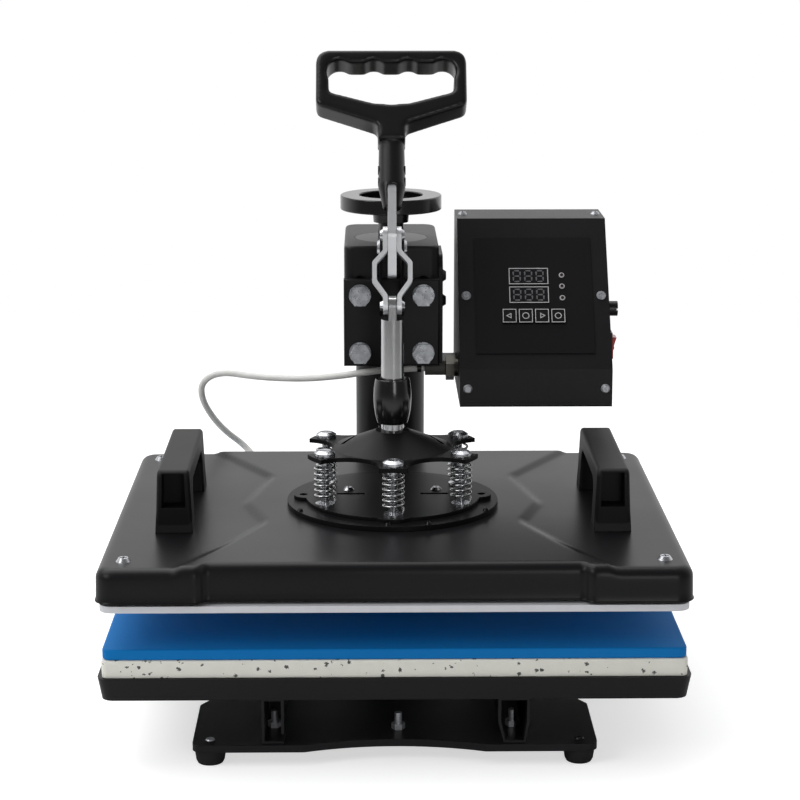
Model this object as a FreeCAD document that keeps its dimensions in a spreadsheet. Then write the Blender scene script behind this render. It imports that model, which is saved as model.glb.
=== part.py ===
import FreeCAD, Part
import Sketcher
import math
import os
import re

Vector = FreeCAD.Vector
Rotation = FreeCAD.Rotation

os.makedirs("parts", exist_ok=True)
doc = FreeCAD.newDocument("combo_heat_press")

# Driving dimensions, in millimetres and degrees
sizes = doc.addObject("Spreadsheet::Sheet", "sizes")
cells = [
    ("plunger_y", -41.5), ("column_y", 148.5), ("mat_width", 383), ("mat_depth", 305),
    ("base_low", 10), ("base_top", 15), ("base_front", -152), ("base_rear", 240.5), ("base_half", 134),
    ("waist_half", 95), ("foot_x", 122.5), ("foot_front", -141), ("foot_rear", 229.5), ("foot_top", 21.5),
    ("channel_top", 47), ("tray_top", 62.4), ("tray_half", 192.5), ("tray_deep", 153), ("foam_half", 192.2),
    ("foam_deep", 153.4), ("foam_top", 74.6),
    ("mat_top", 82), ("column_dia", 54), ("column_top", 298), ("flange_side", 90), ("flange_top", 21),
    ("arm_half", 34.5), ("arm_front", 60), ("arm_back", 175), ("arm_low", 228), ("arm_top", 314),
    ("slide_half", 28), ("slide_front", 68), ("slide_back", 125), ("slide_top", 300), ("screw_y", 105),
    ("sleeve_dia", 70), ("sleeve_low", 212), ("sleeve_top", 296), ("bolt_x", 23), ("bolt_low", 237),
    ("bolt_high", 279.5), ("knob_dia", 75), ("knob_low", 335.3), ("knob_top", 346), ("stem_dia", 19),
    ("screw_dia", 12), ("box_left", 49), ("box_right", 159), ("box_low", 201.5), ("box_top", 328),
    ("box_back", 156), ("panel_y", 30), ("panel_z", 229), ("panel_tilt", 53.2), ("sheet_wall", 2),
    ("gland_y", 70), ("gland_z", 222), ("cable_dia", 5), ("rod_dia", 16), ("rod_shoulder", 272),
    ("bush_low", 197.6), ("bush_high", 229.5), ("pivot_y", 28), ("pivot_z", 318), ("link_y", 14),
    ("link_z", 329.2), ("tang_z", 281.2), ("link_length", 50), ("link_lean", 16.2602), ("link_half", 5.9),
    ("lever_half", 3), ("cheek_in", 6.7), ("cheek_out", 8.7), ("grip_y", 24.5), ("grip_z", 346),
    ("grip_lean", 32), ("grip_half", 54), ("grip_long", 120.3), ("grip_thick", 23), ("spider_low", 177),
    ("spider_top", 180), ("spider_dia", 128), ("bolt_circle", 55), ("cover_low", 114), ("wing_top", 136.5),
    ("cover_top", 138.5), ("cover_half", 195.5), ("cover_deep", 157.5), ("heater_half", 192.5), ("heater_deep", 154.5), ("heater_low", 107.5),
    ("heater_top", 112), ("disc_top", 142), ("disc_dia", 150), ("plate_top", 144.5), ("boss_top", 146),
    ("handle_x", 150), ("handle_wide", 22), ("handle_top", 180), ("handle_front", -68.5), ("handle_back", 58.5),
    ("spring_radius", 6.9), ("spring_wire", 1.7), ("spring_turns", 6),
]
for row, (alias, size) in enumerate(cells, 1):
    sizes.set("A%d" % row, alias)
    sizes.set("B%d" % row, str(size))
    sizes.setAlias("B%d" % row, alias)
doc.recompute()

term = re.compile(r"([+-]?)\s*(?:([\d.]+)\s*\*\s*)?([a-z]+_[a-z_]+|[\d.]+)(?:\s*/\s*([\d.]+))?")
nodes = []


# Value of a sum of cells and numbers
def number(text):
    total = 0.0
    for sign, factor, word, divisor in term.findall(str(text)):
        size = float(sizes.get(word)) if word[0].isalpha() else float(word)
        size = size * float(factor or 1) / float(divisor or 1)
        total += -size if sign == "-" else size
    return total


# Ties a property to cells of the sheet
def bind(thing, path, text):
    thing.setExpression(path, re.sub(r"[a-z]+_[a-z_]+", lambda word: "sizes." + word.group(), str(text)))


# Position with y measured from the plunger axis
def place(thing, x, y, z, axis=Vector(0, 0, 1), angle=0):
    thing.Placement = FreeCAD.Placement(Vector(0, 0, 0), Rotation(axis, angle))
    bind(thing, "Placement.Base.x", x)
    bind(thing, "Placement.Base.y", "plunger_y + (%s)" % y)
    bind(thing, "Placement.Base.z", z)


# Position on the slanted panel: across, up the slope and outwards
def on_panel(thing, x, up, out):
    tilt = Rotation(Vector(1, 0, 0), number("panel_tilt"))
    thing.Placement = FreeCAD.Placement(Vector(0, 0, 0), tilt)
    bind(thing, "Placement.Base.x", x)
    slope = "plunger_y + panel_y + (%s) * cos(panel_tilt * 1 deg) - (%s) * sin(panel_tilt * 1 deg)"
    rise = "panel_z + (%s) * sin(panel_tilt * 1 deg) + (%s) * cos(panel_tilt * 1 deg)"
    bind(thing, "Placement.Base.y", slope % (up, out))
    bind(thing, "Placement.Base.z", rise % (up, out))


def keep(*things):
    nodes.extend(things)
    return things[0]


def block(name, x, y, z):
    thing = doc.addObject("Part::Box", name)
    for side, (low, high) in zip(("Length", "Width", "Height"), (x, y, z)):
        bind(thing, side, "(%s) - (%s)" % (high, low))
    place(thing, x[0], y[0], z[0])
    return thing


def panel_block(name, x, up, out):
    thing = block(name, x, up, out)
    on_panel(thing, x[0], up[0], out[0])
    return thing


turns = {"z": (Vector(0, 0, 1), 0), "x": (Vector(0, 1, 0), 90), "y": (Vector(1, 0, 0), -90)}


def rod(name, x, y, z, length, diameter, axis="z"):
    thing = doc.addObject("Part::Cylinder", name)
    bind(thing, "Radius", "(%s) / 2" % diameter)
    bind(thing, "Height", length)
    place(thing, x, y, z, *turns[axis])
    return thing


def cone(name, x, y, z, length, first, last, axis="z"):
    thing = doc.addObject("Part::Cone", name)
    bind(thing, "Radius1", "(%s) / 2" % first)
    bind(thing, "Radius2", "(%s) / 2" % last)
    bind(thing, "Height", length)
    place(thing, x, y, z, *turns[axis])
    return thing


# Hexagon of a given width across its flats
def hexagon(name, x, y, z, length, flats, axis="z"):
    thing = doc.addObject("Part::Prism", name)
    thing.Polygon = 6
    bind(thing, "Circumradius", "(%s) / 1.7320508" % flats)
    bind(thing, "Height", length)
    place(thing, x, y, z, *turns[axis])
    return thing


def fuse(name, *items):
    thing = doc.addObject("Part::MultiFuse", name)
    thing.Shapes = list(items)
    return thing


def cut(name, base, *tools):
    thing = doc.addObject("Part::Cut", name)
    thing.Base = base
    thing.Tool = tools[0] if len(tools) == 1 else fuse(name + "_tools", *tools)
    return thing


def common(name, first, second):
    thing = doc.addObject("Part::Common", name)
    thing.Base = first
    thing.Tool = second
    return thing


def group(name, *items):
    thing = doc.addObject("Part::Compound", name)
    thing.Links = list(items)
    return thing


# A body seen from above, from the front or from the right side
views = {"top": (Vector(0, 0, 1), 0), "front": (Vector(1, 0, 0), 90), "side": (Vector(1, 1, 1), 120)}


def body(name, view, x=0, y=0, z=0):
    thing = doc.addObject("PartDesign::Body", name)
    place(thing, x, y, z, *views[view])
    return thing


# Sketch of closed outlines and circles, each coordinate a dimension of its own
def sketch(owner, height, outlines):
    plan = owner.newObject("Sketcher::SketchObject", owner.Name + "_sketch")
    plane = [item for item in owner.Origin.OriginFeatures if item.Role == "XY_Plane"][0]
    plan.AttachmentSupport = [(plane, "")]
    plan.MapMode = "FlatFace"
    bind(plan, "AttachmentOffset.Base.z", height)
    ties = []
    for outline in outlines:
        start = plan.GeometryCount
        if not isinstance(outline[0], (tuple, list)):
            x, y, diameter = outline
            middle = Vector(number(x), number(y), 0)
            plan.addGeometry(Part.Circle(middle, Vector(0, 0, 1), number(diameter) / 2), False)
            ties.append((Sketcher.Constraint("DistanceX", -1, 1, start, 3, middle.x), x))
            ties.append((Sketcher.Constraint("DistanceY", -1, 1, start, 3, middle.y), y))
            ties.append((Sketcher.Constraint("Diameter", start, number(diameter)), diameter))
            continue
        corners = [Vector(number(x), number(y), 0) for x, y in outline]
        count = len(corners)
        for index in range(count):
            plan.addGeometry(Part.LineSegment(corners[index], corners[(index + 1) % count]), False)
        for index in range(count):
            follow = start + (index + 1) % count
            plan.addConstraint(Sketcher.Constraint("Coincident", start + index, 2, follow, 1))
        for index, (x, y) in enumerate(outline):
            corner = corners[index]
            ties.append((Sketcher.Constraint("DistanceX", -1, 1, start + index, 1, corner.x), x))
            ties.append((Sketcher.Constraint("DistanceY", -1, 1, start + index, 1, corner.y), y))
    for tie, text in ties:
        place_in_list = plan.addConstraint(tie)
        if isinstance(text, str):
            bind(plan, "Constraints[%d]" % place_in_list, text)
    return plan


def pad(owner, height, depth, *outlines, taper=0):
    feature = owner.newObject("PartDesign::Pad", owner.Name + "_pad")
    feature.Profile = sketch(owner, height, outlines)
    bind(feature, "Length", depth)
    feature.TaperAngle = taper
    return feature


# Pocket that goes down from its sketch
def pocket(owner, height, depth, *outlines):
    doc.recompute()
    before = owner.Shape.Volume
    feature = owner.newObject("PartDesign::Pocket", owner.Name + "_pocket")
    feature.Profile = sketch(owner, height, outlines)
    bind(feature, "Length", depth)
    doc.recompute()
    if owner.Shape.Volume > before - 0.5:
        raise RuntimeError("pocket of %s cuts nothing" % owner.Name)
    return feature


def edges(owner, wanted):
    doc.recompute()
    found = enumerate(owner.Tip.Shape.Edges, 1)
    return ["Edge%d" % index for index, edge in found if wanted(edge)]


def fillet(owner, radius, wanted, kind="Fillet"):
    names = edges(owner, wanted)
    base = owner.Tip
    feature = owner.newObject("PartDesign::" + kind, owner.Name + "_" + kind.lower())
    feature.Base = (base, names)
    bind(feature, "Radius" if kind == "Fillet" else "Size", radius)
    doc.recompute()
    return feature


def upright(edge):
    box = edge.BoundBox
    return box.XLength < 1e-4 and box.YLength < 1e-4


def at_height(*heights):
    def wanted(edge):
        box = edge.BoundBox
        return box.ZLength < 1e-4 and any(abs(box.ZMin - height) < 1e-3 for height in heights)
    return wanted


def mirrored(points):
    return list(points) + [("-" + x if isinstance(x, str) else -x, y) for x, y in reversed(points)]


# Outline that joins two circles by their outer tangents
def strap(first, first_radius, second, second_radius):
    across = second - first
    turn = math.acos((first_radius - second_radius) / across.Length)
    along = math.atan2(across.y, across.x)
    points = []
    for side, centre, radius in ((1, first, first_radius), (1, second, second_radius),
                                 (-1, second, second_radius), (-1, first, first_radius)):
        points.append((centre.x + radius * math.cos(along + side * turn),
                       centre.y + radius * math.sin(along + side * turn)))
    return points


# Base: plate with a hollowed front edge, rubber feet, fasteners
plate = body("base_blank", "top", 0, 0, "base_low")
half = mirrored([("base_half", "base_front"), ("base_half", -77), (127, -66), ("waist_half", -15),
                 ("waist_half", 110), (127, 165), ("base_half", 176), ("base_half", "base_rear")])
pad(plate, 0, "base_top - base_low", half)
pocket(plate, "base_top - base_low", 8, (0, -327, 370))
fillet(plate, 7, lambda edge: upright(edge) and abs(edge.BoundBox.XMin) > 90)
spots = [(sign * number("foot_x"), y) for sign in (-1, 1) for y in ("foot_front", "foot_rear")]
feet = []
screws = []
for index, (x, y) in enumerate(spots):
    place_x = "foot_x" if x > 0 else "-foot_x"
    foot = cone("foot_%d" % index, place_x, y, 2, "base_low - 2", 19, "foot_top")
    sole = cone("sole_%d" % index, place_x, y, 0, 2, 17, 19)
    feet.append(fuse("foot_blank_%d" % index, foot, sole))
    shank = rod("foot_shank_%d" % index, place_x, y, 4, 11, 5)
    head = cone("foot_head_%d" % index, place_x, y, "base_top", 0.8, 6.4, 5.4)
    dimple = hexagon("foot_dimple_%d" % index, place_x, y, "base_top + 0.2", 2, 2.5)
    screws.append(cut("foot_screw_%d" % index, fuse("foot_screw_blank_%d" % index, shank, head), dimple))
keep(cut("base_feet", fuse("feet_blank", *feet), fuse("feet_bores", *screws)))
bolts = []
for index, (x, y) in enumerate([(-34, 156), (34, 156), (-34, 224), (34, 224)]):
    shank = rod("flange_shank_%d" % index, x, y, 3.5, 20, 8)
    head = hexagon("flange_head_%d" % index, x, y, "flange_top", 5.5, 13)
    nut = hexagon("flange_nut_%d" % index, x, y, 4.5, 5.5, 13)
    bolts.append(fuse("flange_bolt_%d" % index, shank, head, nut))
studs = []
for index, (x, low) in enumerate([(-80.5, 17), (79, 17), (2.5, 15)]):
    shank = rod("stud_shank_%d" % index, x, -122, low, 11.5, 5)
    nut = hexagon("stud_nut_%d" % index, x, -122, low, 4, 8)
    studs.append(fuse("stud_%d" % index, shank, nut))
fasteners = keep(group("base_fasteners", *(screws + bolts + studs)))
keep(cut("base_plate", plate, *(screws + bolts)))

# Channels that carry the lower platen
left_channel = body("left_channel", "front", 0, 150)
pad(left_channel, 0, 300, [(-88, "base_top"), (-73, "base_top"), (-73, 17), (-86, 17), (-86, "channel_top - 2"),
                           (-75, "channel_top - 2"), (-75, 22), (-73, 22), (-73, "channel_top"),
                           (-88, "channel_top")])
keep(left_channel)
right_channel = body("right_channel", "front", 0, 150)
pad(right_channel, 0, 300, [(72, "base_top"), (86, "base_top"), (89, 30), (89, "channel_top"),
                            (68, "channel_top"), (68, 30)],
    [(73, 17), (85, 17), (87, 30), (87, "channel_top - 2"), (70, "channel_top - 2"), (70, 30)])
keep(right_channel)

# Lower platen: pan, foam and silicone mat
tray = body("lower_tray", "top", 0, 0, "channel_top")
ring = [("tray_half", "-tray_deep"), ("tray_half", "tray_deep"), ("-tray_half", "tray_deep"),
        ("-tray_half", "-tray_deep")]
pad(tray, 0, "tray_top - channel_top", ring, taper=9)
fillet(tray, 8, lambda edge: edge.BoundBox.ZLength > 10)
keep(tray)
foam = body("foam_pad", "top", 0, 0, "tray_top")
flush = [("foam_half", "-foam_deep"), ("foam_half", "foam_deep"), ("-foam_half", "foam_deep"),
         ("-foam_half", "-foam_deep")]
flat = [("mat_width / 2", "-mat_depth / 2"), ("mat_width / 2", "mat_depth / 2"),
        ("-mat_width / 2", "mat_depth / 2"), ("-mat_width / 2", "-mat_depth / 2")]
pad(foam, 0, "foam_top - tray_top", flush)
fillet(foam, 5, upright)
keep(foam)
mat = body("silicone_mat", "top", 0, 0, "foam_top")
pad(mat, 0, "mat_top - foam_top", flat)
fillet(mat, 5, upright)
fillet(mat, 1.5, at_height(number("mat_top - foam_top")))
keep(mat)

# Column with its flange
flange = body("flange_blank", "top", 0, 190, "base_top")
pad(flange, 0, "flange_top - base_top", [("flange_side / 2", "-flange_side / 2"),
                                         ("flange_side / 2", "flange_side / 2"),
                                         ("-flange_side / 2", "flange_side / 2"),
                                         ("-flange_side / 2", "-flange_side / 2")])
fillet(flange, 8, upright)
keep(cut("column_flange", flange, *bolts))
tube = rod("column_outer", 0, 190, "flange_top", "column_top - flange_top", "column_dia")
bore = rod("column_bore", 0, 190, "flange_top - 1", "column_top - flange_top - 2", "column_dia - 6")
keep(cut("column_tube", tube, bore))

# Arm housing: guide block, neck and sleeve round the column
arm = body("arm_blank", "top", 0, 0, "arm_low")
pad(arm, 0, "arm_top - arm_low", [("arm_half", "arm_front"), ("arm_half", "arm_back"),
                                  ("-arm_half", "arm_back"), ("-arm_half", "arm_front")])
fillet(arm, 10, lambda edge: upright(edge) and edge.BoundBox.YMin > 100)
fillet(arm, 7, lambda edge: upright(edge) and edge.BoundBox.YMin < 61)
fillet(arm, 2.4, at_height(86))
pad(arm, 4, 58, [(25, 140), (25, 190), (-25, 190), (-25, 140)])
pad(arm, "sleeve_low - arm_low", "sleeve_top - sleeve_low", (0, 190, "sleeve_dia"))
pocket(arm, "sleeve_top + 4 - arm_low", 90, (0, 190, 60))
pocket(arm, "slide_top - arm_low", 74, [("slide_half", "slide_front"), ("slide_half", "slide_back"),
                                        ("-slide_half", "slide_back"), ("-slide_half", "slide_front")])
pocket(arm, "arm_top - arm_low", 8, (0, "screw_y", 54))
pocket(arm, "arm_top - arm_low - 7", 9, (0, "screw_y", 12.8))
slots = []
for index, (sign, z) in enumerate([(-1, "bolt_low"), (1, "bolt_low"), (-1, "bolt_high"), (1, "bolt_high")]):
    x = "bolt_x" if sign > 0 else "-bolt_x"
    low = rod("slot_low_%d" % index, x, 58, z, 12, 9.6, "y")
    high = rod("slot_high_%d" % index, x, 58, z + " + 8", 12, 9.6, "y")
    gap = block("slot_gap_%d" % index, (x + " - 4.8", x + " + 4.8"), (58, 70), (z, z + " + 8"))
    slots.extend((low, high, gap))
side_bolts = []
for index, z in enumerate((271.5, 290)):
    head = cone("side_head_%d" % index, 37.5, 76, z, 2.6, 9.5, 6, "x")
    socket = hexagon("side_socket_%d" % index, 38.6, 76, z, 3, 3.4, "x")
    shank = rod("side_shank_%d" % index, 29, 76, z, 8.5, 5, "x")
    side_bolts.append(cut("side_bolt_%d" % index, fuse("side_bolt_blank_%d" % index, head, shank), socket))
keep(cut("arm_housing", arm, *(slots + side_bolts)))
cap = rod("cap_blank", 0, "screw_y", "arm_top - 8", 8, 53.4)
keep(cut("arm_top_cap", cap, rod("cap_bore", 0, "screw_y", "arm_top - 9", 10, "stem_dia + 0.16")))
rings = []
for index, z in enumerate(("sleeve_low", "sleeve_top - 20")):
    outer = rod("bush_outer_%d" % index, 0, 190, z, 20, 60)
    inner = rod("bush_inner_%d" % index, 0, 190, z + " - 1", 22, "column_dia + 0.12")
    rings.append(cut("bush_%d" % index, outer, inner))
keep(group("swivel_bushes", *rings))

# Pressure knob and its screw
knob = body("knob_blank", "top", 0, "screw_y", "knob_low")
pad(knob, 0, "knob_top - knob_low", (0, 0, "knob_dia"))
pocket(knob, "knob_top - knob_low", 7, (0, 0, 47))
fillet(knob, 0.9, lambda edge: at_height(0, 10.7)(edge) and edge.BoundBox.XLength > 46)
hub = cone("knob_hub", 0, "screw_y", 325.8, 9.5, 26, 27.6)
stem = rod("knob_stem", 0, "screw_y", 306.3, 20, "stem_dia")
screw_top = rod("screw_top", 0, "screw_y", "slide_top - 60", 84, "screw_dia")
keep(cut("pressure_knob", fuse("knob_whole", knob, hub, stem), screw_top))
keep(fuse("pressure_screw", screw_top, cone("screw_point", 0, "screw_y", "slide_top - 62", 2, 8, "screw_dia")))

# Control box: housing, bent front cover, panel and what is on it
housing = body("housing_blank", "side", "box_left")
pad(housing, 0, "box_right - box_left", [("box_back", "box_low"), ("box_back", "box_top"),
                                         (106.5, "box_top"), (32, 228.4), (31, "box_low")])
fillet(housing, 3, lambda edge: upright(edge) and edge.BoundBox.XMin > 130)
pocket(housing, "box_right - box_left - sheet_wall", "box_right - box_left - 2 * sheet_wall",
       [("box_back - 2", 205), ("box_back - 2", 326), (20, 326), (20, 205)])
cover = body("box_cover_blank", "side", "box_left")
pad(cover, 0, "box_right - box_left", [(106.5, "box_top"), (104.07, "box_top"), ("panel_y", "panel_z"),
                                       (29, "box_low"), (31, "box_low"), (32, 228.4)])
fillet(cover, 1, lambda edge: upright(edge) and edge.BoundBox.XMin < 30.5)
keys = [(80.6, 90.9), (92.4, 102.7), (104.2, 114.5), (116.0, 126.3)]
key_holes = []
for index, (low, high) in enumerate(keys):
    key_holes.append(panel_block("key_hole_%d" % index, (low - 0.3, high + 0.3), (36.3, 48.1), (-4, 3)))
box_screws = []
for index, (x, y, z, turn) in enumerate([(54, 127, 328, "z"), (154, 127, 328, "z"), (54.6, 29.4, 214.8, "y"),
                                         (154, 29.4, 214.8, "y")]):
    if turn == "z":
        head = cone("box_head_%d" % index, x, y, z, 1.8, 7, 4.5)
        shank = rod("box_shank_%d" % index, x, y, z - 5, 5, 3)
    else:
        head = cone("box_head_%d" % index, x, y - 1.6, z, 2, 4.5, 7, "y")
        shank = rod("box_shank_%d" % index, x, y, z, 5, 3, "y")
    if turn == "z":
        cross = [block("box_cross_%d" % index, (x - 1.9, x + 1.9), (y - 0.5, y + 0.5), (z + 1, z + 3)),
                 block("box_bar_%d" % index, (x - 0.5, x + 0.5), (y - 1.9, y + 1.9), (z + 1, z + 3))]
    else:
        cross = [block("box_cross_%d" % index, (x - 1.9, x + 1.9), (y - 3, y - 0.8), (z - 0.5, z + 0.5)),
                 block("box_bar_%d" % index, (x - 0.5, x + 0.5), (y - 3, y - 0.8), (z - 1.9, z + 1.9))]
    box_screws.append(cut("box_screw_%d" % index, fuse("box_screw_blank_%d" % index, head, shank), *cross))
for index, x in enumerate((54.6, 153.4)):
    head = cone("panel_head_%d" % index, x, 0, 0, 1.8, 7, 4.5)
    shank = rod("panel_shank_%d" % index, x, 0, 0, 5, 3)
    on_panel(head, x, 59.6, 0)
    on_panel(shank, x, 59.6, -4.8)
    cross = [panel_block("panel_cross_%d" % index, (x - 1.9, x + 1.9), (59.1, 60.1), (1, 3)),
             panel_block("panel_bar_%d" % index, (x - 0.5, x + 0.5), (57.7, 61.5), (1, 3))]
    box_screws.append(cut("panel_screw_%d" % index, fuse("panel_screw_blank_%d" % index, head, shank), *cross))
keep(group("control_screws", *(box_screws + side_bolts)))
keep(cut("control_cover", cover, *(key_holes + box_screws)))
overlay = panel_block("overlay_blank", (61, 147), (12.4, 107.4), (0, 0.8))
keep(cut("panel_overlay", overlay, *key_holes))
upper = panel_block("upper_display", (86, 115), (67.9, 81.6), (0.8, 1.4))
lower = panel_block("lower_display", (86, 115), (52.7, 66.4), (0.8, 1.4))
keep(group("display_windows", upper, lower))
lights = []
for index, up in enumerate((75.7, 66.6, 57.1)):
    light = rod("led_%d" % index, 124.8, 0, 0, 1, 2.4)
    on_panel(light, 124.8, up, 0.8)
    lights.append(light)
keep(group("led_lenses", *lights))
for index, (low, high) in enumerate(keys):
    key = panel_block("button_%s" % ("down", "mode", "up", "timer")[index], (low, high), (36.6, 47.8), (-4, 2))
    keep(key)
keep(panel_block("circuit_board", (62, 146), (15, 107), (-10, -8.4)))
bezel_ring = block("bezel_ring", ("box_right", "box_right + 2"), (53.5, 70.5), (228, 251))
bezel_sleeve = block("bezel_sleeve", ("box_right - 10", "box_right"), (54.8, 69.2), (229.3, 249.7))
bezel_gap = block("bezel_gap", ("box_right - 11", "box_right + 3"), (56.1, 67.9), (230.3, 248.7))
keep(cut("switch_bezel", fuse("bezel_blank", bezel_ring, bezel_sleeve), bezel_gap))
rocker = body("rocker_blank", "front", "box_right + 0.8", 67.6, 239.5)
pad(rocker, 0, 11.2, [(-2, -7.5), (1.5, -8), (3.4, -8), (2.2, 0), (3.4, 8), (1.5, 8), (-2, 7.5)])
rocker.Placement.Rotation = Rotation(Vector(0, 1, 0), 8).multiply(Rotation(*views["front"]))
keep(fuse("rocker_switch", rocker, rod("rocker_barrel", "box_right + 0.8", 56.4, 239.5, 11.2, 5.8, "y")))
fuse_hole = rod("fuse_hole", "box_right - 3", 72, 265.8, 4, 9.1, "x")
fuse_rim = rod("fuse_rim", "box_right + 0.1", 72, 265.8, 6.9, 11, "x")
fuse_stub = rod("fuse_stub", "box_right - 8", 72, 265.8, 8.1, 9, "x")
fuse_slot = block("fuse_slot", ("box_right + 5.6", "box_right + 9"), (66, 78), (265, 266.6))
keep(cut("fuse_cap", fuse("fuse_blank", fuse_rim, fuse_stub), fuse_slot))
inlet_flange = block("inlet_flange", (84, 134), ("box_back", "box_back + 3"), (212, 236))
inlet_sleeve = block("inlet_sleeve", (95, 123), ("box_back - 22", "box_back"), (214, 234))
inlet_well = block("inlet_well", (97, 121), ("box_back - 18", "box_back + 4"), (216, 232))
pins = [block("inlet_pin_%d" % index, (x - 1, x + 1), ("box_back - 19", "box_back - 4"), (z - 2, z + 2))
        for index, (x, z) in enumerate([(102, 222), (109, 226), (116, 222)])]
keep(fuse("power_inlet", cut("inlet_shell", fuse("inlet_blank", inlet_flange, inlet_sleeve), inlet_well), *pins))
collar = rod("gland_collar", "box_left - 3", "gland_y", "gland_z", 10, 12.8, "x")
gland_nut = hexagon("gland_hexagon", "box_left - 9", "gland_y", "gland_z", 6, 16, "x")
keep(cut("control_housing", housing, bezel_sleeve, fuse_hole, inlet_sleeve, collar, *box_screws))
tail = rod("tail_outer", 24.6, "gland_y", "gland_z", "box_left - 9 - 24.6", 10.8, "x")
tail_bore = rod("tail_bore", 23, "gland_y", "gland_z", 35, "cable_dia", "x")
keep(cut("cable_gland", fuse("gland_blank", collar, gland_nut), tail_bore))
keep(cut("gland_tail", tail, tail_bore))

# Side bracket that carries the control box
bracket = body("bracket_blank", "side", "arm_half")
pad(bracket, 0, 3, [(66, 219), (140, 219), (140, 280), (118, 306), (72, 306), (66, 298)])
fillet(bracket, 5, lambda edge: upright(edge) and edge.BoundBox.YMin > 260)
pad(bracket, 0, "box_left - arm_half", [(85, 219), (125, 219), (125, 222), (85, 222)])
notch = rod("bracket_notch", "arm_half - 1", "gland_y", "gland_z", 20, 12.4, "x")
keep(cut("control_bracket", bracket, notch, *side_bolts))

# Carriage: slider, toggle bracket and guide bush
slider = body("slider_blank", "top", 0, 0, 236)
pad(slider, 0, 54, [("slide_half - 0.2", "slide_front + 0.2"), ("slide_half - 0.2", "slide_back - 0.2"),
                    ("-slide_half + 0.2", "slide_back - 0.2"), ("-slide_half + 0.2", "slide_front + 0.2")],
    (0, "screw_y", "screw_dia + 0.12"))
clamps = []
for index, (sign, z) in enumerate([(-1, "bolt_low"), (1, "bolt_low"), (-1, "bolt_high"), (1, "bolt_high")]):
    x = "bolt_x" if sign > 0 else "-bolt_x"
    head = hexagon("clamp_head_%d" % index, x, 46.5, z, 4.5, 14, "y")
    washer = rod("clamp_washer_%d" % index, x, 51, z, 1, 16, "y")
    shank = rod("clamp_shank_%d" % index, x, 52, z, 28, 8, "y")
    clamps.append(fuse("clamp_%d" % index, head, washer, shank))
keep(group("clamp_bolts", *clamps))
keep(cut("carriage_block", slider, *clamps))
bracket = body("toggle_blank", "side")
pad(bracket, "-arm_half - 0.3", "2 * arm_half + 0.6", [(52, 227), (59.8, 227), (59.8, 291), (52, 291)])
fillet(bracket, 1.6, lambda edge: edge.BoundBox.XMax < 52.01)
cheek = [(52, 264.1), (20.8, 313.5), (34.7, 323.2), (59.5, 291), (54, 288), (54, 264.1)]
for x in ("-cheek_out", "cheek_in"):
    pad(bracket, x, "cheek_out - cheek_in", cheek)
    pad(bracket, x, "cheek_out - cheek_in", ("pivot_y", "pivot_z", 17))
pad(bracket, -6, 12, [(8, 205), (54, 205), (54, 228), (8, 228)])
bulge = doc.addObject("Part::Ellipsoid", "barrel_bulge")
bulge.Radius1, bulge.Radius2, bulge.Radius3 = 30, 13.4, 13.4
place(bulge, 0, 0, "bush_low + 18.4")
barrel = common("barrel_blank", rod("barrel_length", 0, 0, "bush_low", "bush_high - bush_low", 30), bulge)
pin = rod("pivot_shank", "-cheek_out", "pivot_y", "pivot_z", "2 * cheek_out", 8, "x")
keep(cut("toggle_bracket", bracket, barrel, pin, *clamps))
bush_bore = rod("bush_bore", 0, 0, "bush_low - 1", 40, "rod_dia + 0.12")
bush_lip = cone("bush_lip", 0, 0, "bush_high - 3", 3.1, "rod_dia + 0.12", 21)
keep(cut("guide_bush", barrel, bush_bore, bush_lip))
pin_heads = [cone("pivot_head_left", "-cheek_out - 1.9", "pivot_y", "pivot_z", 1.9, 9, 12, "x"),
             cone("pivot_head_right", "cheek_out", "pivot_y", "pivot_z", 1.9, 12, 9, "x")]
keep(fuse("lever_pivot_pin", pin, *pin_heads))

# Lever: plate between the links, bar into the grip
pivot = Vector(number("pivot_y"), number("pivot_z"), 0)
joint = Vector(number("link_y"), number("link_z"), 0)
heel = Vector(15, 303, 0)
lever = body("lever_blank", "side", "-lever_half")
thick = "2 * lever_half"
pad(lever, 0, thick, ("pivot_y", "pivot_z", 18))
pad(lever, 0, thick, ("link_y", "link_z", 16))
pad(lever, 0, thick, (heel.x, heel.y, 10))
pad(lever, 0, thick, strap(pivot, 9, joint, 8))
pad(lever, 0, thick, strap(pivot, 9, heel, 5))
pad(lever, 0, thick, strap(heel, 5, joint, 8))
lean = Vector(math.sin(math.radians(number("grip_lean"))), math.cos(math.radians(number("grip_lean"))), 0)
across = Vector(lean.y, -lean.x, 0)
bar = [joint + across * 8, joint + across * 8 + lean * 50, joint - across * 8 + lean * 50, joint - across * 8]
pad(lever, 0, thick, [(point.x, point.y) for point in bar])
fillet(lever, 5, lambda edge: upright(edge) and edge.BoundBox.YMin > 360)
pivot_hole = rod("lever_pivot_hole", -5, "pivot_y", "pivot_z", 10, 8.1, "x")
link_hole = rod("lever_link_hole", -5, "link_y", "link_z", 10, 6.1, "x")
grip = body("grip_blank", "top")
grip.Placement.Rotation = Rotation(Vector(1, 0, 0), 90 - number("grip_lean"))
for path, text in (("x", "0"), ("y", "plunger_y + grip_y"), ("z", "grip_z")):
    bind(grip, "Placement.Base." + path, text)
shape = mirrored([(9.8, 50), (9.8, 62), ("grip_half", 77.2), ("grip_half", "grip_long")])
pad(grip, "-grip_thick / 2", "grip_thick", shape)
fillet(grip, 9, lambda edge: upright(edge) and edge.BoundBox.YMin > 119)
fillet(grip, 5, lambda edge: upright(edge) and 60.5 < edge.BoundBox.YMin < 100)
window = mirrored([(0.01, 77.3), (12.8, 78.3), (44.8, 87.2), (44.8, 110.3)])
pocket(grip, "grip_thick / 2", "grip_thick", window)
fillet(grip, 4, lambda edge: upright(edge) and abs(abs(edge.BoundBox.XMin) - 44.8) < 0.01)
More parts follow.
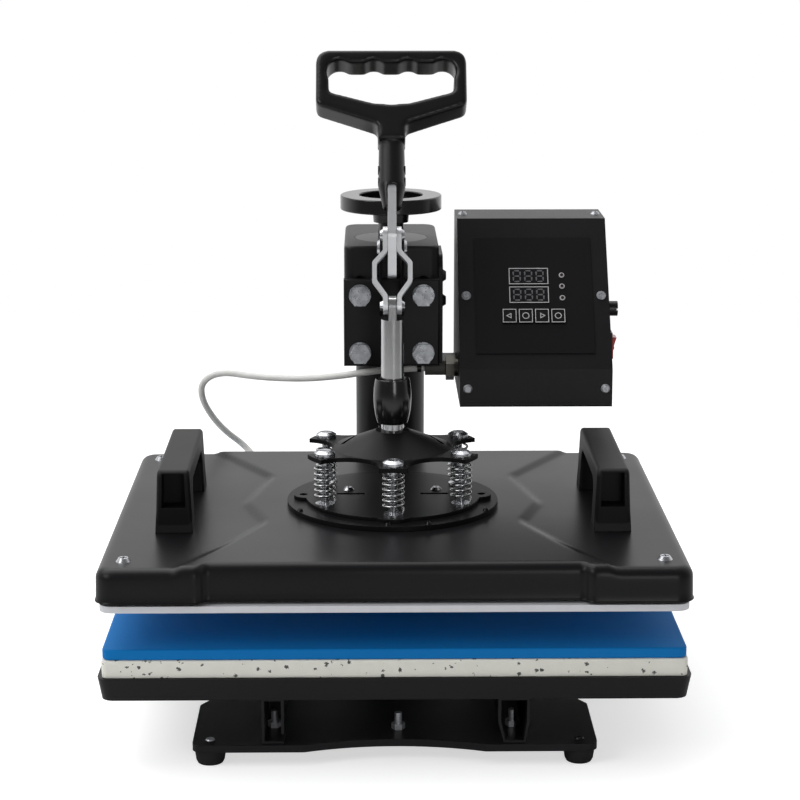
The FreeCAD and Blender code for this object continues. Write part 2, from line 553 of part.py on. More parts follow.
pocket(grip, "grip_thick / 2", "grip_thick", (-37, 103.6, 18.6), (-12.4, 103.6, 18.6), (12.4, 103.6, 18.6),
       (37, 103.6, 18.6))
fillet(grip, 2.6, lambda edge: upright(edge) and abs(edge.BoundBox.YMin - 110.3) < 0.05
       and abs(edge.BoundBox.XMin) < 40)
fillet(grip, 2.4, lambda edge: at_height(-11.5, 11.5)(edge) and edge.BoundBox.YMax > 1)
necks = []
for index, (up, length, first, last) in enumerate([(0, 17, 12.4, 19.6), (17, 55, 19.6, 17.2)]):
    neck = cone("grip_neck_%d" % index, 0, 0, 0, length, first, last)
    seam = Rotation(Vector(0, 0, 1), 45)
    neck.Placement = FreeCAD.Placement(Vector(0, 0, 0), Rotation(Vector(1, 0, 0), -number("grip_lean")) * seam)
    offset = grip.Placement.Rotation.multVec(Vector(0, up, 0))
    bind(neck, "Placement.Base.x", "0 * grip_y")
    bind(neck, "Placement.Base.y", "plunger_y + grip_y + (%.4f)" % offset.y)
    bind(neck, "Placement.Base.z", "grip_z + (%.4f)" % offset.z)
    necks.append(neck)
slot = block("grip_slot", ("-lever_half", "lever_half"), (-1, 15), (-12, 12))
slot.Placement = FreeCAD.Placement(Vector(0, 0, 0), grip.Placement.Rotation)
tilted = grip.Placement.Rotation.multVec(Vector(0, -1, -12))
bind(slot, "Placement.Base.x", "-lever_half")
bind(slot, "Placement.Base.y", "plunger_y + grip_y + (%.4f)" % tilted.y)
bind(slot, "Placement.Base.z", "grip_z + (%.4f)" % tilted.z)
pegs = []
for index, up in enumerate((21, 30)):
    spot = grip.Placement.Rotation.multVec(Vector(0, up, 0))
    y = "grip_y + (%.4f)" % spot.y
    z = "grip_z + (%.4f)" % spot.z
    pegs.append(fuse("grip_screw_%d" % index, rod("peg_shank_%d" % index, -8.4, y, z, 16.8, 4, "x"),
                     cone("peg_left_%d" % index, -9.8, y, z, 1.4, 6.2, 7, "x"),
                     cone("peg_right_%d" % index, 8.4, y, z, 1.4, 7, 6.2, "x")))
lever_plate = keep(cut("toggle_lever", lever, pivot_hole, link_hole, *pegs))
keep(cut("handle_grip", fuse("grip_whole", grip, *necks), lever, slot, *pegs))
keep(group("grip_screws", *pegs))

# Links: bowed straps with rounded eyes
link_turn = Rotation(Vector(1, 0, 0), -90 - number("link_lean"))
eyes = []
for index, (y, z) in enumerate((("link_y", "link_z"), ("0", "tang_z"))):
    eyes.append(rod("eye_%d" % index, -20, y, z, 40, "2 * link_half", "x"))
waist = block("link_waist", (-20, 20), (0, "link_length"), ("-link_half", "link_half"))
waist.Placement = FreeCAD.Placement(Vector(0, 0, 0), link_turn)
spot = link_turn.multVec(Vector(-20, 0, -number("link_half")))
bind(waist, "Placement.Base.x", -20)
bind(waist, "Placement.Base.y", "plunger_y + link_y + (%.4f)" % spot.y)
bind(waist, "Placement.Base.z", "link_z + (%.4f)" % spot.z)
envelope = fuse("link_envelope", eyes[0], eyes[1], waist)
bow = [(3.3, -7), (3.3, 12.4), (10.9, 20.6), (10.9, 32.2), (3.3, 42.8), (3.3, 58), (6.5, 58), (6.5, 43.8),
       (14.1, 33.2), (14.1, 19.4), (6.5, 11.2), (6.5, -7)]
upper_pin = rod("upper_pin", -6.5, "link_y", "link_z", 13, 6, "x")
upper_heads = [cone("upper_head_left", -8.7, "link_y", "link_z", 2.2, 6, 9, "x"),
               cone("upper_head_right", 6.5, "link_y", "link_z", 2.2, 9, 6, "x")]
stubs = [rod("stub_left", -6.5, 0, "tang_z", 3.5, 6, "x"), rod("stub_right", 3, 0, "tang_z", 3.5, 6, "x")]
stub_heads = [cone("stub_head_left", -8.7, 0, "tang_z", 2.2, 5.5, 8, "x"),
              cone("stub_head_right", 6.5, 0, "tang_z", 2.2, 8, 5.5, "x")]
for name, sign in (("left_link", -1), ("right_link", 1)):
    link = body(name + "_blank", "top", 0, "link_y", "link_z")
    pad(link, "-link_half - 1", "2 * link_half + 2", [(sign * x, y) for x, y in bow])
    link.Placement.Rotation = link_turn
    fillet(link, 3.6, lambda edge: upright(edge) and 5 < edge.BoundBox.YMin < 50)
    keep(cut(name, common(name + "_strap", link, envelope), upper_pin, *stubs))
left_rivet = fuse("left_rivet", stubs[0], stub_heads[0])
right_rivet = fuse("right_rivet", stubs[1], stub_heads[1])
keep(group("link_pins", fuse("upper_rivet", upper_pin, *upper_heads), left_rivet, right_rivet))

# Plunger: push rod with a flat tang, spider plate and nut
shaft = rod("rod_shaft", 0, 0, "spider_top", "rod_shoulder - spider_top", "rod_dia")
thread = rod("rod_thread", 0, 0, 164, "spider_top - 164", 10)
tang_round = rod("tang_round", -2.7, 0, "tang_z", 5.4, 15, "x")
tang_flat = block("tang_flat", (-2.7, 2.7), (-7.5, 7.5), ("rod_shoulder - 3", "tang_z"))
keep(fuse("push_rod", shaft, thread, tang_round, tang_flat))
keep(cut("spider_nut", hexagon("nut_hexagon", 0, 0, 168, "spider_low - 168", 17), thread))
spider = body("spider_blank", "top", 0, 0, "spider_low")
pad(spider, 0, "spider_top - spider_low", (0, 0, "spider_dia"))
notch = pocket(spider, "spider_top - spider_low", 8, (66, 0, 48))
ears = spider.newObject("PartDesign::PolarPattern", "spider_ears")
axis = [item for item in spider.Origin.OriginFeatures if item.Role == "Z_Axis"][0]
ears.Originals = [notch]
ears.Axis = (axis, [""])
ears.Angle = 360
ears.Occurrences = 6
spider.Tip = ears
doc.recompute()
print("spider volume with its notches %.0f" % spider.Shape.Volume)
hole_spots = []
for index in range(6):
    angle = math.radians(30 + 60 * index)
    hole_spots.append(("bolt_circle * %.6f" % math.cos(angle), "bolt_circle * %.6f" % math.sin(angle)))
holes = [rod("spider_hole_%d" % index, x, y, "spider_low - 1", 6, 6.7) for index, (x, y) in enumerate(hole_spots)]
slits = []
for index, (x, turn) in enumerate(((-31, 50), (31, -50))):
    slit = block("slit_%d" % index, (0, 15), (0, 3.4), (176, 193))
    corner = Rotation(Vector(0, 0, 1), turn).multVec(Vector(-7.5, -1.7, 0))
    place(slit, "%.4f" % (x + corner.x), "%.4f" % (3 + corner.y), 176, Vector(0, 0, 1), turn)
    slits.append(slit)
dome = cone("spider_dome", 0, 0, "spider_top", 12, 83, 24)
rod_bore = rod("spider_bore", 0, 0, "spider_top", 20, "rod_dia")
keep(cut("spider_plate", fuse("spider_whole", spider, dome), rod_bore, thread, *(holes + slits)))

# Heated platen: pressed cover, heater plate and element
shell = body("cover_blank", "top", 0, 0, "cover_low")
pad(shell, 0, "wing_top - cover_low", [("cover_half", "-cover_deep"), ("cover_half", "cover_deep"),
                                       ("-cover_half", "cover_deep"), ("-cover_half", "-cover_deep")], taper=-5)
fillet(shell, 11, lambda edge: edge.BoundBox.ZLength > 10)
panel = mirrored([(140, -155.3), (113, -102), (89, -48), (105, 2), (100, 24), (89, 74), (138, 155.3)])
pad(shell, 22, 2.5, panel)
fillet(shell, 1.6, at_height(number("cover_top - cover_low")), "Chamfer")
pocket(shell, 30, 40, [(-136, -162), (-127, -151.5), (127, -151.5), (136, -162)])
pocket(shell, "wing_top - cover_low - 2", 30, [(188.5, -148.5), (188.5, 150.5), (-188.5, 150.5),
                                             (-188.5, -148.5)])
head_spots = [(sx * 177.5, sy * 133.5) for sx in (-1, 1) for sy in (-1, 1)]
cover_screws = []
for index, (x, y) in enumerate(head_spots):
    head = cone("cover_head_%d" % index, x, y, "wing_top", 2.4, 10, 6.5)
    shank = rod("cover_shank_%d" % index, x, y, "heater_top", "wing_top - heater_top", 5)
    cross = [block("cover_cross_%d" % index, (x - 2.5, x + 2.5), (y - 0.7, y + 0.7), (137.8, 140)),
             block("cover_bar_%d" % index, (x - 0.7, x + 0.7), (y - 2.5, y + 2.5), (137.8, 140))]
    cover_screws.append(cut("cover_screw_%d" % index, fuse("cover_screw_blank_%d" % index, head, shank), *cross))
grommet = rod("grommet_ring", -104, 150, 120, 10, 9, "y")
grommet_flange = rod("grommet_flange", -104, 157.8, 120, 2.2, 9, "y")
grommet_whole = fuse("grommet_blank", grommet, grommet_flange)
keep(cut("platen_cover", shell, grommet_whole, *cover_screws))
keep(cut("cable_grommet", grommet_whole, rod("grommet_bore", -104, 149, 120, 9, "cable_dia", "y")))
heater = body("heater_plate", "top", 0, 0, "heater_low")
pad(heater, 0, "heater_top - heater_low", [("heater_half", "-heater_deep"), ("heater_half", "heater_deep"),
                                           ("-heater_half", "heater_deep"), ("-heater_half", "-heater_deep")])
fillet(heater, 9, upright)
keep(heater)
element = body("heating_element", "top", 0, 0, "heater_top")
pad(element, 0, 3.5, [(-165, -120), (165, -120), (165, 120), (-165, 120)],
    [(-157, -112), (157, -112), (157, 112), (-157, 112)])
pad(element, 0, 3.5, [(-95, -115), (-87, -115), (-87, 115), (-95, 115)])
pad(element, 0, 3.5, [(87, -115), (95, -115), (95, 115), (87, 115)])
keep(element)

# Mount: disc, eared plate, bosses, bolts and springs
bolts = []
bosses = []
for index, (x, y) in enumerate(hole_spots):
    shank = rod("spring_shank_%d" % index, x, y, "cover_top", "spider_top + 0.05 - cover_top", 6)
    head = rod("spring_head_%d" % index, x, y, "spider_top + 0.05", 2.4, 14.5)
    crown = cone("spring_crown_%d" % index, x, y, "spider_top + 2.45", 1.6, 14.5, 9)
    groove = block("spring_groove_%d" % index, (x + " - 8", x + " + 8"), (y + " - 0.8", y + " + 0.8"), (182.6, 186))
    bolts.append(cut("spring_bolt_%d" % index, fuse("spring_bolt_blank_%d" % index, shank, head, crown), groove))
    bosses.append(rod("boss_%d" % index, x, y, "plate_top", "boss_top - plate_top", 13.5))
keep(group("spring_bolts", *bolts))
keep(cut("spring_bosses", fuse("bosses_blank", *bosses), *bolts))
dome_screws = []
for index, (x, y, z, wide) in enumerate([(-31.5, 14, 144.5, 8), (31.5, 14, 144.5, 8), (-65, -34, 142, 4.5),
                                         (-4, -70, 142, 4.5), (24, -68, 142, 4.5), (65, -34, 142, 4.5)]):
    head = cone("mount_head_%d" % index, x, y, z, 1.8, wide, wide * 0.6)
    shank = rod("mount_shank_%d" % index, x, y, 138.5, z - 138.5, wide * 0.45)
    whole = fuse("mount_screw_%d" % index, head, shank)
    reach = wide * 0.26
    cross = [block("mount_cross_%d" % index, (x - reach, x + reach), (y - 0.5, y + 0.5), (z + 1, z + 3)),
             block("mount_bar_%d" % index, (x - 0.5, x + 0.5), (y - reach, y + reach), (z + 1, z + 3))]
    dome_screws.append(cut("mount_screw_cut_%d" % index, whole, *cross))
keep(group("platen_screws", *(cover_screws + dome_screws)))
disc = rod("disc_blank", 0, 0, "cover_top", "disc_top - cover_top", "disc_dia")
keep(cut("mount_disc", disc, *(bolts + dome_screws)))
rise = "plate_top - disc_top"
core = rod("eared_core", 0, 0, "disc_top", rise, 124)
place(core, 0, 0, "disc_top", Vector(0, 0, 1), 45)
lobes = [core, block("eared_bar", (-61, 61), (-7.2, 9.2), ("disc_top", "plate_top")),
         rod("eared_left", -61, 1, "disc_top", rise, 18.8), rod("eared_right", 61, 1, "disc_top", rise, 18.8),
         rod("eared_front", 0, -52, "disc_top", rise, 29), rod("eared_back", 0, 52, "disc_top", rise, 29)]
eared = fuse("eared_blank", *lobes)
openings = [block("eared_slot_%d" % index, (x - 10, x + 10), (0, 4), (141, 146)) for index, x in enumerate((-29.7, 29.7))]
openings += [rod("eared_hole_%d" % index, x, 1, 141, 5, 5.7) for index, x in enumerate((-63.5, 63.5))]
keep(cut("mount_plate", eared, *(openings + bolts + dome_screws[:2])))

# Side handles: arches with a finger opening and a recess in the front end
for name, sign in (("left_side_handle", -1), ("right_side_handle", 1)):
    x = ("handle_x" if sign > 0 else "-handle_x") + " - handle_wide / 2"
    arch = body(name + "_blank", "side", x)
    pad(arch, 0, "handle_wide", [("handle_front - 1.5", "wing_top"), ("handle_back + 1.5", "wing_top"),
                                 ("handle_back", 142), ("handle_back", "handle_top"),
                                 ("handle_front", "handle_top"), ("handle_front", 142)])
    fillet(arch, 5, lambda edge: upright(edge) and edge.BoundBox.YMin > 175)
    pocket(arch, "handle_wide", "handle_wide", [(-47, 130), (38, 130), (38, 167), (-47, 167)])
    fillet(arch, 9, lambda edge: upright(edge) and 147 < edge.BoundBox.YMin < 168
           and -48 < edge.BoundBox.XMin < 39)
    fillet(arch, 2.4, lambda edge: at_height(0, 22)(edge) and edge.BoundBox.YMax > 143)
    hollow = block(name + "_recess", (x + " + 3.6", x + " + handle_wide - 3.6"),
                   ("handle_front - 3", "handle_front + 14"), (154, "handle_top - 2.2"))
    keep(cut(name, arch, hollow))


# Middle of the arc that leaves a point along a tangent and ends at another point
def arc_middle(start, tangent, end):
    chord = end - start
    along = chord * (1 / chord.Length)
    beside = tangent - along * tangent.dot(along)
    if beside.Length < 1e-7:
        return None
    half_turn = math.acos(max(-1, min(1, tangent.dot(along))))
    return (start + end) * 0.5 + beside * (chord.Length / 2 * math.tan(half_turn / 2) / beside.Length)


def biarc(start, start_tangent, end, end_tangent):
    across = end - start
    square = 2 * (1 - start_tangent.dot(end_tangent))
    middle = 2 * across.dot(start_tangent + end_tangent)
    reach = (-middle + math.sqrt(middle * middle + 4 * square * across.dot(across))) / (2 * square)
    joint_point = (start + start_tangent * reach + end - end_tangent * reach) * 0.5
    first = arc_middle(start, start_tangent, joint_point)
    second = arc_middle(end, end_tangent * -1, joint_point)
    return [Part.Arc(start, first, joint_point).toShape(), Part.Arc(joint_point, second, end).toShape()]


# Compression spring: straight ends of one wire diameter, then steady curls
def coil(low, high):
    radius = number("spring_radius")
    wire = number("spring_wire")
    turns_made = number("spring_turns")
    lead = 2.2
    first = low + wire + lead
    rise = high - wire - lead - first
    slope = rise / (2 * math.pi * turns_made)
    points = [(Vector(radius, 0, low + wire), Vector(0, 0, 1))]
    steps = int(turns_made * 4)
    for index in range(steps + 1):
        angle = math.pi / 6 + 2 * math.pi * turns_made * index / steps
        spot = Vector(radius * math.cos(angle), radius * math.sin(angle), first + rise * index / steps)
        tangent = Vector(-radius * math.sin(angle), radius * math.cos(angle), slope)
        points.append((spot, tangent.normalize()))
    last = math.pi / 3 + 2 * math.pi * turns_made
    points.append((Vector(radius * math.cos(last), radius * math.sin(last), high - wire), Vector(0, 0, 1)))
    parts = [Part.LineSegment(Vector(radius, 0, low), points[0][0]).toShape()]
    for (start, tangent), (end, end_tangent) in zip(points, points[1:]):
        parts.extend(biarc(start, tangent, end, end_tangent))
    end = points[-1][0]
    parts.append(Part.LineSegment(end, Vector(end.x, end.y, high)).toShape())
    path = Part.Wire(parts)
    circle = Part.Circle(Vector(radius, 0, low), Vector(0, 0, 1), wire / 2)
    solid = path.makePipeShell([Part.Wire(circle.toShape())], True, False)
    return solid, path


def self_gap(path, wire):
    spots = []
    run = 0
    for edge in path.Edges:
        count = 8
        first, last = edge.ParameterRange
        for index in range(count):
            spots.append((run + edge.Length * index / count,
                          edge.valueAt(first + (last - first) * index / count)))
        run += edge.Length
    least = 1e9
    for index, (here, point) in enumerate(spots):
        for there, other in spots[index + 1:]:
            if there - here > 6 * wire:
                least = min(least, point.distanceToPoint(other) - wire)
    return least


spring_shape, spring_path = coil(number("boss_top"), number("spider_low"))
spring_gap = self_gap(spring_path, number("spring_wire"))
spring_section = math.pi * number("spring_wire") ** 2 / 4
print("spring: least gap to itself %.2f" % spring_gap)
print("spring: volume %.1f, section times length %.1f" % (spring_shape.Volume, spring_section * spring_path.Length))
coils = []
for index in range(6):
    angle = math.radians(30 + 60 * index)
    turned = spring_shape.copy()
    turned.translate(Vector(number("bolt_circle") * math.cos(angle), number("bolt_circle") * math.sin(angle), 0))
    coils.append(turned)
springs = doc.addObject("Part::Feature", "springs")
springs.Shape = Part.makeCompound(coils)
springs.Placement = FreeCAD.Placement(Vector(0, number("plunger_y"), 0), Rotation())
keep(springs)

# Heater cable: straight runs joined by tangent arcs
route = [(24.6, 70, 222), (8, 70.3, 221.3), (-14, 80, 217.5), (-40, 104.5, 208.3), (-69.1, 128, 201.1),
         (-104.2, 150, 198), (-133, 164.5, 199.5), (-148.5, 171, 190), (-149, 177, 174.5),
         (-140.6, 186, 156.4), (-130, 191, 143.5), (-118.5, 195.8, 133.6), (-109.3, 188.3, 125),
         (-104, 175.3, 120), (-104, 160.3, 120)]
points = [Vector(*point) for point in route]
parts = []
here = points[0]
radii = []
for before, corner, after in zip(points, points[1:], points[2:]):
    arrive = (corner - before)
    leave = (after - corner)
    shorter = min(arrive.Length, leave.Length)
    turn = arrive.getAngle(leave)
    radius = 0.45 * shorter / math.tan(turn / 2)
    radii.append(radius)
    arrive = arrive.normalize()
    leave = leave.normalize()
    start = corner - arrive * (0.45 * shorter)
    end = corner + leave * (0.45 * shorter)
    parts.append(Part.LineSegment(here, start).toShape())
    parts.append(Part.Arc(start, arc_middle(start, arrive, end), end).toShape())
    here = end
parts.append(Part.LineSegment(here, points[-1]).toShape())
path = Part.Wire(parts)
section = Part.Circle(points[0], points[1] - points[0], number("cable_dia") / 2)
cable_shape = path.makePipeShell([Part.Wire(section.toShape())], True, False)
area = math.pi * number("cable_dia") ** 2 / 4
print("cable: radii " + " ".join("%.0f" % radius for radius in radii))
print("cable: volume %.0f, section times length %.0f" % (cable_shape.Volume, area * path.Length))
cable = doc.addObject("Part::Feature", "heater_cable")
cable.Shape = cable_shape
cable.Placement = FreeCAD.Placement(Vector(0, number("plunger_y"), 0), Rotation())
keep(cable)

# Checks, then one file for each node
doc.recompute()
faults = []
for thing in doc.Objects:
    if "Invalid" in thing.State or "Error" in thing.State:
        faults.append("%s is %s" % (thing.Name, thing.State))
for thing in nodes:
    if thing.Shape.isNull() or not thing.Shape.isValid() or not thing.Shape.Solids:
        faults.append("%s has no valid shape" % thing.Label)
if len(nodes) > 60:
    faults.append("%d nodes" % len(nodes))
if faults:
    raise RuntimeError("\n".join(faults))
whole = FreeCAD.BoundBox()
for thing in nodes:
    thing.Shape.exportStep("parts/%s.step" % thing.Label)
    whole.add(thing.Shape.BoundBox)
print("%d nodes, box %s" % (len(nodes), whole))
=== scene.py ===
import bpy
import bmesh
import math
from mathutils import Matrix, Vector, noise

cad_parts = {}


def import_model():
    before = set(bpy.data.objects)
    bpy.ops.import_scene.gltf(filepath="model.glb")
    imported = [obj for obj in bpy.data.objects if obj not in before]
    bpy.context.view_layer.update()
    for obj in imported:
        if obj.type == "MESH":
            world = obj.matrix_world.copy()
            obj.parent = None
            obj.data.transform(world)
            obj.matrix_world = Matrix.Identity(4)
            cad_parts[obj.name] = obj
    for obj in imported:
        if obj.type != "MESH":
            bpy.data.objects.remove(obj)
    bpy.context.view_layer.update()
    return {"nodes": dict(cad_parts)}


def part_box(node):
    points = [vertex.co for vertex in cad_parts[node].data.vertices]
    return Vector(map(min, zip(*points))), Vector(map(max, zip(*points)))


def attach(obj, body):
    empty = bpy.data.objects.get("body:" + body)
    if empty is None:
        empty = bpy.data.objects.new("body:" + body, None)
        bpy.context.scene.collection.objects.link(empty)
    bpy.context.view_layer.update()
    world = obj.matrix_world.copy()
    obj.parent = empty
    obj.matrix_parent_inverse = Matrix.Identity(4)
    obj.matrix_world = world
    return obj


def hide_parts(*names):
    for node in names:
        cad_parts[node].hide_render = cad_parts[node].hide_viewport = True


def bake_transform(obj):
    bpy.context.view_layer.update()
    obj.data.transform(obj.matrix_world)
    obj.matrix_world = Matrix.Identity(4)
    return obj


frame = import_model()
nodes = frame["nodes"]
mm = 0.001
plungerY = -41.5
print("frame loaded")


def world(x, y, z):
    # millimetres, y measured from the plunger axis
    return Vector((x * mm, (y + plungerY) * mm, z * mm))


# camera
cameraPlan = {"lens": 97.65, "place": (-14.8, -1496.5, 555), "pitch": -12.85, "yaw": 0.77}
cameraData = bpy.data.cameras.new("camera")
cameraData.lens = cameraPlan["lens"]
cameraData.sensor_width = 36
cameraData.clip_end = 30
camera = bpy.data.objects.new("camera", cameraData)
camera.location = world(*cameraPlan["place"])
camera.rotation_euler = (math.radians(90 + cameraPlan["pitch"]), 0, -math.radians(cameraPlan["yaw"]))
bpy.context.scene.collection.objects.link(camera)
bpy.context.scene.camera = camera


# shader maths written as plain arithmetic
class Flow:
    def __init__(self, tree, socket):
        self.tree = tree
        self.socket = socket

    def maths(self, operation, *others):
        node = self.tree.nodes.new("ShaderNodeMath")
        node.operation = operation
        for entry, value in zip(node.inputs, (self,) + others):
            plug(self.tree, entry, value)
        return Flow(self.tree, node.outputs[0])

    def __add__(self, other):
        return self.maths("ADD", other)

    def __sub__(self, other):
        return self.maths("SUBTRACT", other)

    def __rsub__(self, other):
        node = self.tree.nodes.new("ShaderNodeMath")
        node.operation = "SUBTRACT"
        plug(self.tree, node.inputs[0], other)
        plug(self.tree, node.inputs[1], self)
        return Flow(self.tree, node.outputs[0])

    def __mul__(self, other):
        return self.maths("MULTIPLY", other)

    def __gt__(self, other):
        return self.maths("GREATER_THAN", other)

    def __lt__(self, other):
        return self.maths("LESS_THAN", other)


def plug(tree, entry, value):
    if isinstance(value, Flow):
        tree.links.new(value.socket, entry)
    elif isinstance(value, tuple) and entry.type == "RGBA":
        entry.default_value = value + (1,)
    else:
        entry.default_value = value


class Finish:
    # one material with its Principled shader
    def __init__(self, name, **sockets):
        self.material = bpy.data.materials.new(name)
        self.material.use_nodes = True
        self.tree = self.material.node_tree
        self.shader = self.tree.nodes["Principled BSDF"]
        self.put(**sockets)

    def put(self, **sockets):
        for name, value in sockets.items():
            plug(self.tree, self.shader.inputs[name.replace("_", " ")], value)

    def node(self, kind, settings=None, out=0, **sockets):
        made = self.tree.nodes.new(kind)
        for name, value in (settings or {}).items():
            setattr(made, name, value)
        for name, value in sockets.items():
            entry = made.inputs[int(name[1:])] if name[0] == "i" and name[1:].isdigit() else made.inputs[name]
            plug(self.tree, entry, value)
        return Flow(self.tree, made.outputs[out])

    def place(self, which="Object"):
        made = self.tree.nodes.new("ShaderNodeTexCoord")
        return Flow(self.tree, made.outputs[which])

    def noise(self, scale, detail=3, roughness=0.55, where=None):
        return self.node("ShaderNodeTexNoise", Vector=where or self.place(), Scale=scale, Detail=detail,
                         Roughness=roughness)

    def noiseColour(self, scale):
        return self.node("ShaderNodeTexNoise", None, 1, Vector=self.place(), Scale=scale, Detail=2)

    def blend(self, factor, first, second):
        made = self.tree.nodes.new("ShaderNodeMix")
        made.data_type = "RGBA"
        plug(self.tree, made.inputs[0], factor)
        plug(self.tree, made.inputs[6], first)
        plug(self.tree, made.inputs[7], second)
        return Flow(self.tree, made.outputs[2])

    def bump(self, height, strength, distance, soften=0):
        bumped = {"Height": height, "Strength": strength, "Distance": distance}
        if soften:
            # rounded edges for the light only, soften in millimetres
            bumped["Normal"] = self.node("ShaderNodeBevel", {"samples": 3}, Radius=soften * mm)
        self.put(Normal=self.node("ShaderNodeBump", **bumped))


# finishes
def enamel(name, colour, lift, rough, roughSwing, grain, bump, soften=0.7, gloss=0.22):
    finish = Finish(name, Specular_IOR_Level=gloss)
    cloud = finish.noise(9, 4)
    fine = finish.noise(grain, 2)
    lifted = tuple(value * lift for value in colour)
    finish.put(Base_Color=finish.blend(cloud, colour, lifted),
               Roughness=cloud * roughSwing + (rough - roughSwing / 2))
    finish.bump(fine, bump, 0.0004, soften)
    return finish


blackEnamel = enamel("blackEnamel", (0.006, 0.006, 0.0068), 1.6, 0.32, 0.12, 420, 0.06, 0.7, 0.18)
discEnamel = enamel("discEnamel", (0.0055, 0.0055, 0.006), 1.5, 0.4, 0.12, 420, 0.06, 0.7, 0.1)
gritEnamel = enamel("gritEnamel", (0.006, 0.0058, 0.0068), 1.6, 0.42, 0.14, 1500, 0.22)
boxEnamel = enamel("boxEnamel", (0.007, 0.0067, 0.0078), 1.5, 0.42, 0.1, 1900, 0.25)
blackPlastic = enamel("blackPlastic", (0.0045, 0.0042, 0.0046), 1.5, 0.3, 0.1, 1300, 0.05, gloss=0.35)
glossPlastic = enamel("glossPlastic", (0.004, 0.0038, 0.0042), 1.4, 0.18, 0.08, 300, 0.02, gloss=0.6)
handlePlastic = enamel("handlePlastic", (0.0045, 0.0042, 0.0046), 1.4, 0.5, 0.1, 900, 0.12, 1.2, 0.2)
rubber = enamel("rubber", (0.012, 0.012, 0.012), 1.6, 0.75, 0.1, 1600, 0.25)
panelFilm = enamel("panelFilm", (0.0062, 0.0058, 0.0068), 1.25, 0.36, 0.06, 2600, 0.06, 0.2)


def metal(name, colour, tint, rough, swing, stretch, bump):
    finish = Finish(name, Metallic=1.0)
    where = finish.node("ShaderNodeMapping", i0=finish.place(), Scale=stretch)
    cloud = finish.noise(160, 3)
    streak = finish.noise(1, 3, 0.6, where)
    finish.put(Base_Color=finish.blend(cloud, colour, tint), Roughness=streak * swing + (rough - swing / 2))
    finish.bump(streak, bump, 0.0002)
    return finish


zinc = metal("zinc", (0.66, 0.67, 0.7), (0.46, 0.47, 0.49), 0.26, 0.22, (500, 500, 500), 0.5)
linkSteel = metal("linkSteel", (0.86, 0.87, 0.89), (0.74, 0.75, 0.77), 0.4, 0.2, (1200, 1200, 160), 0.2)
# clamp bolts: the near-black second colour, mixed in by noise, is painted reflection: dark patches beside the
# bright zinc stand in for dark reflections on the heads
boltZinc = metal("boltZinc", (0.7, 0.72, 0.76), (0.1, 0.105, 0.11), 0.3, 0.3, (300, 300, 300), 1.0)
rodSteel = metal("rodSteel", (0.62, 0.62, 0.63), (0.52, 0.52, 0.53), 0.2, 0.12, (2500, 2500, 60), 0.05)
springSteel = metal("springSteel", (0.6, 0.61, 0.62), (0.44, 0.44, 0.45), 0.22, 0.16, (700, 700, 700), 0.08)
brass = metal("brass", (0.62, 0.46, 0.2), (0.5, 0.36, 0.16), 0.35, 0.2, (600, 600, 600), 0.1)
darkNickel = metal("darkNickel", (0.12, 0.115, 0.1), (0.08, 0.078, 0.07), 0.3, 0.16, (500, 500, 500), 0.2)
blackBolt = metal("blackBolt", (0.03, 0.03, 0.032), (0.02, 0.02, 0.022), 0.34, 0.16, (500, 500, 500), 0.2)
castPlate = metal("castPlate", (0.74, 0.75, 0.78), (0.66, 0.67, 0.7), 0.5, 0.2, (900, 900, 900), 0.25)
castPlate.put(Metallic=0.2)

silicone = Finish("silicone", Specular_IOR_Level=0.16)
siliconeCloud = silicone.noise(7, 4)
siliconeFine = silicone.noise(1400, 2)
silicone.put(Base_Color=silicone.blend(siliconeCloud, (0.0, 0.165, 0.49), (0.001, 0.185, 0.53)),
             Roughness=siliconeCloud * 0.12 + 0.52)
silicone.bump(siliconeFine, 0.15, 0.0002)

# foam: bonded cream crumbs with a few dark ones, uneven in size and shape
foamPlan = {"crumbs": 270.0, "warp": 0.0032, "warpScale": 900, "dark": 0.4, "patch": 0.42, "patchScale": 130}
foam = Finish("foam", Roughness=0.88, Specular_IOR_Level=0.2)
foamDrift = foam.node("ShaderNodeVectorMath", {"operation": "SCALE"}, i0=foam.noiseColour(foamPlan["warpScale"]),
                      Scale=foamPlan["warp"])
foamWarp = foam.node("ShaderNodeVectorMath", {"operation": "ADD"}, i0=foam.place(), i1=foamDrift)
foamCell, foamHue = (foam.node("ShaderNodeTexVoronoi", {"feature": "F1"}, out, Vector=foamWarp,
                               Scale=foamPlan["crumbs"]) for out in (0, 1))
foamPick = foam.node("ShaderNodeSeparateColor", i0=foamHue)
foamSize = foamPick * 0.8 + 0.1
foamPatch = foam.noise(foamPlan["patchScale"], 2) > foamPlan["patch"]
foamDark = (foamPick < foamPlan["dark"]) * (foamCell < foamSize) * foamPatch
foamTint = foam.blend(foam.noise(90, 4), (0.93, 0.925, 0.84), (0.82, 0.815, 0.75))
foam.put(Base_Color=foam.blend(foamDark * 0.9, foamTint, (0.03, 0.035, 0.035)))
foam.bump(foam.noise(1300, 3), 0.5, 0.0008)

displayGlass = Finish("displayGlass", Base_Color=(0.012, 0.012, 0.014), Specular_IOR_Level=0.2)
displaySmear = displayGlass.noise(60, 3)
displayGlass.put(Roughness=displaySmear * 0.12 + 0.2)
digitGrey = Finish("digitGrey", Base_Color=(0.13, 0.13, 0.135))
digitGrey.put(Roughness=digitGrey.noise(900, 2) * 0.2 + 0.35)
whiteInk = Finish("whiteInk")
inkWear = whiteInk.noise(700, 3)
whiteInk.put(Base_Color=whiteInk.blend(inkWear, (0.5, 0.5, 0.5), (0.66, 0.66, 0.66)), Roughness=0.55)
lens = Finish("lens", Base_Color=(0.03, 0.012, 0.012), Coat_Weight=0.5)
lens.put(Roughness=lens.noise(1200, 2) * 0.15 + 0.2)
board = Finish("board", Base_Color=(0.01, 0.09, 0.03))
board.put(Roughness=board.noise(500, 3) * 0.3 + 0.3)
redPlastic = Finish("redPlastic", Base_Color=(0.5, 0.012, 0.012), Coat_Weight=0.3, Coat_Roughness=0.15)
